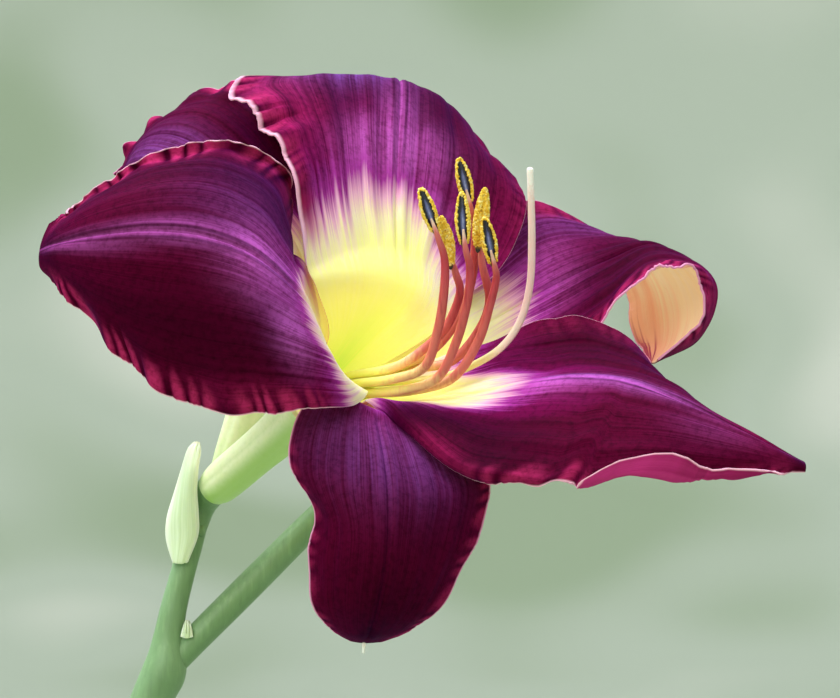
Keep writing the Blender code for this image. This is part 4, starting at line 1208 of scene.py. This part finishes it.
def stem_material():
    wax_sheen = {"Sheen Weight": 0.12, "Sheen Roughness": 0.5, "Sheen Tint": colour("dff0e4")}
    material, tree, shader = flesh_material("stem", 0.45, 0.15, (0.6, 1.0, 0.4), 0.001, wax_sheen)
    spot = object_place(tree)
    grain = spot.streaks((1500.0, 1500.0, 140.0), 3.0, 0.6)
    flesh = grain.ramp(((0.25, "6e9062"), (0.5, "789c6a"), (0.75, "86aa76")))
    flesh = spot.noise(90.0, 3.0).span(0.35, 0.75, 0.0, 0.3).between(flesh, colour("94b492"))
    # Painted shade: darker green where the stem faces down.
    flesh = (painted_shade_below(tree, 0.35) * 0.6).between(flesh, colour("486c38"))
    dress(shader, flesh, grain, 0.35, 0.00012)
    return material


right, front, up = BLOOM_MIDDLE
in_vase = [(x - right, z - up, front, radius) for x, z, radius in SCAPE_IN_VASE]
stalk = [(*(THROAT - AXIS * (TUBE_LENGTH + back)), PEDICEL_RADIUS) for back in STALK_ENDS]
stems = [
    thread("scape_main", (*in_vase, *SCAPE_ABOVE, *stalk), 40, 420),
    thread("scape_branch", BRANCH_WAY, 32, 90),
    thread("scape_pedicel", SIDE_PEDICEL_WAY, 24, 30),
]
scape = joined("scape", stems)
for stem in stems:
    bpy.data.objects.remove(stem, do_unlink=True)
fitted(scape, "scape", stem_material())

# The bract that wraps the fork, and the tiny scale in the fork itself: thin green leaf, papery at the edge,
# folded round the stem that it grows from.
BRACT_ROWS = (
    ((-37, -31.9, -38), (-35.9, -32.1, -36.7), (-34.7, -31.8, -36.9)),
    ((-38, -28.5, -38.9), (-35.2, -28, -36.6), (-33.2, -27.8, -37)),
    ((-37.9, -25.3, -39.1), (-35.2, -24.9, -36.5), (-33.1, -24.6, -36.6)),
    ((-36.8, -21.5, -39.4), (-35, -21.3, -36.2), (-33.3, -21.3, -36)),
    ((-35.8, -18.2, -39.5), (-34.6, -18.1, -36.3), (-33.1, -18, -36)),
    ((-34.9, -15.4, -39.4), (-34, -15.2, -37.6), (-32.8, -15.4, -37.6)),
    ((-34, -14.2, -39.2), (-33.5, -14.1, -39), (-33, -14.2, -39.1)),
)
LEAF_THICKNESS = 0.6
SCALE_ROWS = (
    ((-35.8, -43, -36.85), (-34.9, -43.2, -36.8), (-33.9, -43, -36.7)),
    ((-35.5, -41.9, -37.1), (-34.8, -41.8, -36.7), (-34.1, -41.9, -36.8)),
    ((-35.1, -40.9, -37.5), (-34.8, -40.7, -37.3), (-34.5, -40.9, -37.3)),
)


def leaf(name, rows, steps, columns, thickness):
    across = np.sin(np.linspace(-1, 1, columns) * math.pi / 2)
    along = np.linspace(0, 1, steps)
    u, v = np.meshgrid(along, across, indexing="ij")
    points = bent_rows(np.array(rows, float), along, v)[0]
    points = points + normals_of(points) * (0.05 * np.cos(13 * v) * ease((1 - np.abs(v)) / 0.3))[..., None]
    thin = thickness * (1 - 0.65 * np.abs(v) ** 3)
    return solid_of_sheet(name, points, u, v, thin, {"edge": np.abs(v), "along": u})


def bract_material():
    duller = {"Specular IOR Level": 0.35}
    material, tree, shader = flesh_material("bract", 0.5, 0.35, (0.9, 1.0, 0.5), 0.001, duller)
    veins = blade_place(tree).streaks((26.0, 1.0, 1.0))
    flesh = veins.ramp(((0.3, "cadeb2"), (0.7, "dcecca")))
    flesh = field(tree, "edge").span(0.55, 1.0, 0.0, 0.9).between(flesh, colour("f0f6e0"))
    flesh = field(tree, "along").span(0.9, 1.0, 0.0, 0.7).between(flesh, colour("d8d8a0"))
    dress(shader, flesh, veins, 0.4, 0.00012)
    return material


bract_finish = bract_material()
fitted(leaf("bract", BRACT_ROWS, 80, 36, LEAF_THICKNESS), "bract", bract_finish)
fitted(leaf("fork_scale", SCALE_ROWS, 30, 20, LEAF_THICKNESS), "fork_scale", bract_finish)

# The vase: a small thrown stoneware bottle, glazed inside and out down to a bare foot, with the turning
# lines of the potter's fingers under the glaze. Water stands in it to the shoulder.
VASE_OUTLINE = (
    (25.5, 0),
    (27.5, 2.5),
    (32.5, 20),
    (35.5, 48),
    (32, 82),
    (22, 113),
    (16.6, 134),
    (16.4, 148),
    (18.6, 156.6),
)
VASE_WALL = 3.8
VASE_FLOOR = 6.0
VASE_FLOOR_ROUND = 4.0
VASE_LIP_RISE = 1.4
VASE_FOOT_RINGS = ((8.0, 0.0), (16.0, 0.0), (24.4, 0.0), (24.9, 0.05))
VASE_FLOOR_RING = 12.0
VASE_LIP_STEPS = 14
VASE_BEND_STEPS = 8
VASE_STEPS = 190
VASE_SIDES = 128


def vase_outline():
    """Radius and height from the foot's middle, up the outside, over the lip, down inside to the floor."""
    outer = curve_at(VASE_OUTLINE, np.linspace(0, len(VASE_OUTLINE) - 1, VASE_STEPS))
    # Turning lines, which fade out toward the foot and the lip.
    rings = 0.09 * np.sin(1.35 * outer[:, 1]) + 0.05 * np.sin(0.83 * outer[:, 1] + 1.0)
    outer[:, 0] = outer[:, 0] + rings * ease((outer[:, 1] - 6) / 8) * ease((150 - outer[:, 1]) / 10)
    half = VASE_WALL / 2
    middle, top = outer[-1, 0] - half, outer[-1, 1]
    turns = np.linspace(0, math.pi, VASE_LIP_STEPS)[1:-1]
    lip = [(middle + half * math.cos(turn), top + VASE_LIP_RISE * math.sin(turn)) for turn in turns]
    inner = [(r - VASE_WALL, z) for r, z in outer[::-1] if z > VASE_FLOOR + VASE_FLOOR_ROUND]
    edge = inner[-1][0]
    bend = [
        (edge - VASE_FLOOR_ROUND * (1 - math.cos(turn)), VASE_FLOOR + VASE_FLOOR_ROUND * (1 - math.sin(turn)))
        for turn in np.linspace(0, math.pi / 2, VASE_BEND_STEPS)[1:]
    ]
    return np.array([*VASE_FOOT_RINGS, *outer[1:], *lip, *inner, *bend, (VASE_FLOOR_RING, VASE_FLOOR)])


def vase_material():
    material, tree, shader = new_material("vase_glaze", {"Roughness": 0.16, "Specular IOR Level": 0.5})
    spot = object_place(tree)
    height = Value(tree, "ShaderNodeSeparateXYZ", "Z", {"Vector": spot})
    cloud = spot.noise(38.0, 4.0, 0.6)
    glaze = cloud.ramp(((0.3, "c6c9bd"), (0.5, "d3d4c8"), (0.7, "dddbcf")))
    glaze = height.span(0.1535, 0.158, 0.0, 0.6).between(glaze, colour("b89a72"))
    glaze = spot.noise(900.0, 1.0).span(0.69, 0.76, 0.0, 0.7).between(glaze, colour("7a6a58"))
    bare = height.shaken(cloud, 0.0012).span(0.0042, 0.0034)
    clay = spot.noise(600.0, 4.0).ramp(((0.3, "9a8468"), (0.7, "b39c7e")))
    relief = spot.streaks((30.0, 30.0, 260.0)) * 0.4 + spot.noise(2500.0) * (bare + 0.06)
    dress(shader, bare.between(glaze, clay), relief, 0.35, 0.0003)
    (cloud.span(0.3, 0.7, 0.12, 0.22) + bare * 0.6).to(shader, "Roughness")
    return material


outline = vase_outline()
turns = np.arange(VASE_SIDES) * 2 * math.pi / VASE_SIDES
radius, height = outline[:, :1], outline[:, 1:]
circles = np.stack((radius * np.cos(turns), radius * np.sin(turns), height * np.ones_like(turns)), axis=-1)
fitted(skin("vase", circles * MM, {}), "vase", vase_material())

clear = {"Roughness": 0.03, "IOR": 1.333, "Transmission Weight": 0.92}
water_finish, tree, shader = new_material("water", clear)
ripple = object_place(tree).noise(60.0)
dress(shader, ripple.ramp(((0.3, "cfe0d6"), (0.7, "e2eee4"))), ripple, 0.15, 0.0004)
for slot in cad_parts["water"].material_slots:
    slot.material = water_finish

# The surroundings: a wide round cove of pale grey-green card, soft lamps over it, and the camera that looks
# level at the bloom from the front with a long lens.
COVE_RADIUS = 4.2
COVE_CORNER = 1.2
COVE_HEIGHT = 3.6
COVE_FLOOR_RINGS = (0.35, 1.4)
COVE_SIDES = 96
COVE_CORNER_STEPS = 14
# The card is plain near the middle. Faint broad patches fade in between these distances from it.
CARD_PLAIN = 2.4
CARD_MOTTLED = 3.9
CAMERA_DISTANCE = 0.8
CAMERA_LENS = 240.0


def cove():
    """A floor that curves up into a round wall, seen from its inside."""
    arc = [
        (COVE_RADIUS - COVE_CORNER * (1 - math.sin(turn)), COVE_CORNER * (1 - math.cos(turn)))
        for turn in np.linspace(0, math.pi / 2, COVE_CORNER_STEPS)
    ]
    outline = [*((radius, 0.0) for radius in COVE_FLOOR_RINGS), *arc, (COVE_RADIUS, COVE_HEIGHT)]
    turns = np.linspace(0, 2 * math.pi, COVE_SIDES, endpoint=False)
    points = [(0.0, 0.0, 0.0)]
    for radius, height in outline:
        points.extend((radius * math.cos(turn), radius * math.sin(turn), height) for turn in turns)
    ring = [(1 + j, 1 + (j + 1) % COVE_SIDES) for j in range(COVE_SIDES)]
    faces = [(0, a, b) for a, b in ring]
    for start in range(0, (len(outline) - 1) * COVE_SIDES, COVE_SIDES):
        after = start + COVE_SIDES
        faces.extend((a + start, a + after, b + after, b + start) for a, b in ring)
    mesh = bpy.data.meshes.new("cove")
    mesh.from_pydata(points, [], faces)
    material, tree, shader = new_material("cove_card", {"Roughness": 0.9})
    spot = object_place(tree)
    # The patches, mirrored over the bloom's height, and the distance from the cove's middle.
    soft = spot.stretched((1.0, 1.0, -1.0), (0.0, 0.0, 2 * BLOOM_MIDDLE[2] * MM)).noise(3.0, 1.0)
    flat = {"Vector": spot.stretched((1.0, 1.0, 0.0))}
    away = Value(tree, "ShaderNodeVectorMath", "Value", flat, operation="LENGTH")
    soft = away.span(CARD_PLAIN, CARD_MOTTLED) * (soft - 0.4) + 0.4
    soft.ramp(((0.34, "a3b192"), (0.5, "bec6b2"), (0.66, "dcdccc"))).to(shader, "Base Color")
    mesh.materials.append(material)
    linked("cove", mesh)


def lamp(name, place, target, size, watts, tint):
    data = bpy.data.lights.new(name, "AREA")
    data.shape = "DISK"
    data.size = size
    data.energy = watts
    data.color = colour(tint)[:3]
    light = bpy.data.objects.new(name, data)
    light.visible_camera = False
    light.location = place
    light.rotation_euler = (Vector(target) - Vector(place)).to_track_quat("-Z", "Y").to_euler()
    bpy.context.scene.collection.objects.link(light)


bloom = Vector(BLOOM_MIDDLE) * MM
# Each lamp: its place and aim, its size in metres, its power in watts and its colour.
lamp("top_lamp", (-0.35, 0.05, 1.35), bloom, 0.7, 17.0, "f4f6ff")
lamp("front_lamp", (-0.7, -1.7, 1.1), bloom, 1.0, 13.0, "fff8f0")
cove()
world = bpy.data.worlds.new("room")
bpy.context.scene.world = world
world.use_nodes = True
sky = world.node_tree.nodes["Background"].inputs
sky["Color"].default_value = colour("e6ecf8")
sky["Strength"].default_value = 1.7

camera_data = bpy.data.cameras.new("camera")
camera_data.lens = CAMERA_LENS
camera_data.sensor_width = 36.0
camera_data.clip_end = 100.0
camera = bpy.data.objects.new("camera", camera_data)
camera.location = bloom - Vector((0.0, CAMERA_DISTANCE, 0.0))
camera.rotation_euler = (math.pi / 2, 0.0, 0.0)
bpy.context.scene.collection.objects.link(camera)
bpy.context.scene.camera = camera
bpy.context.scene.view_settings.view_transform = "Standard"
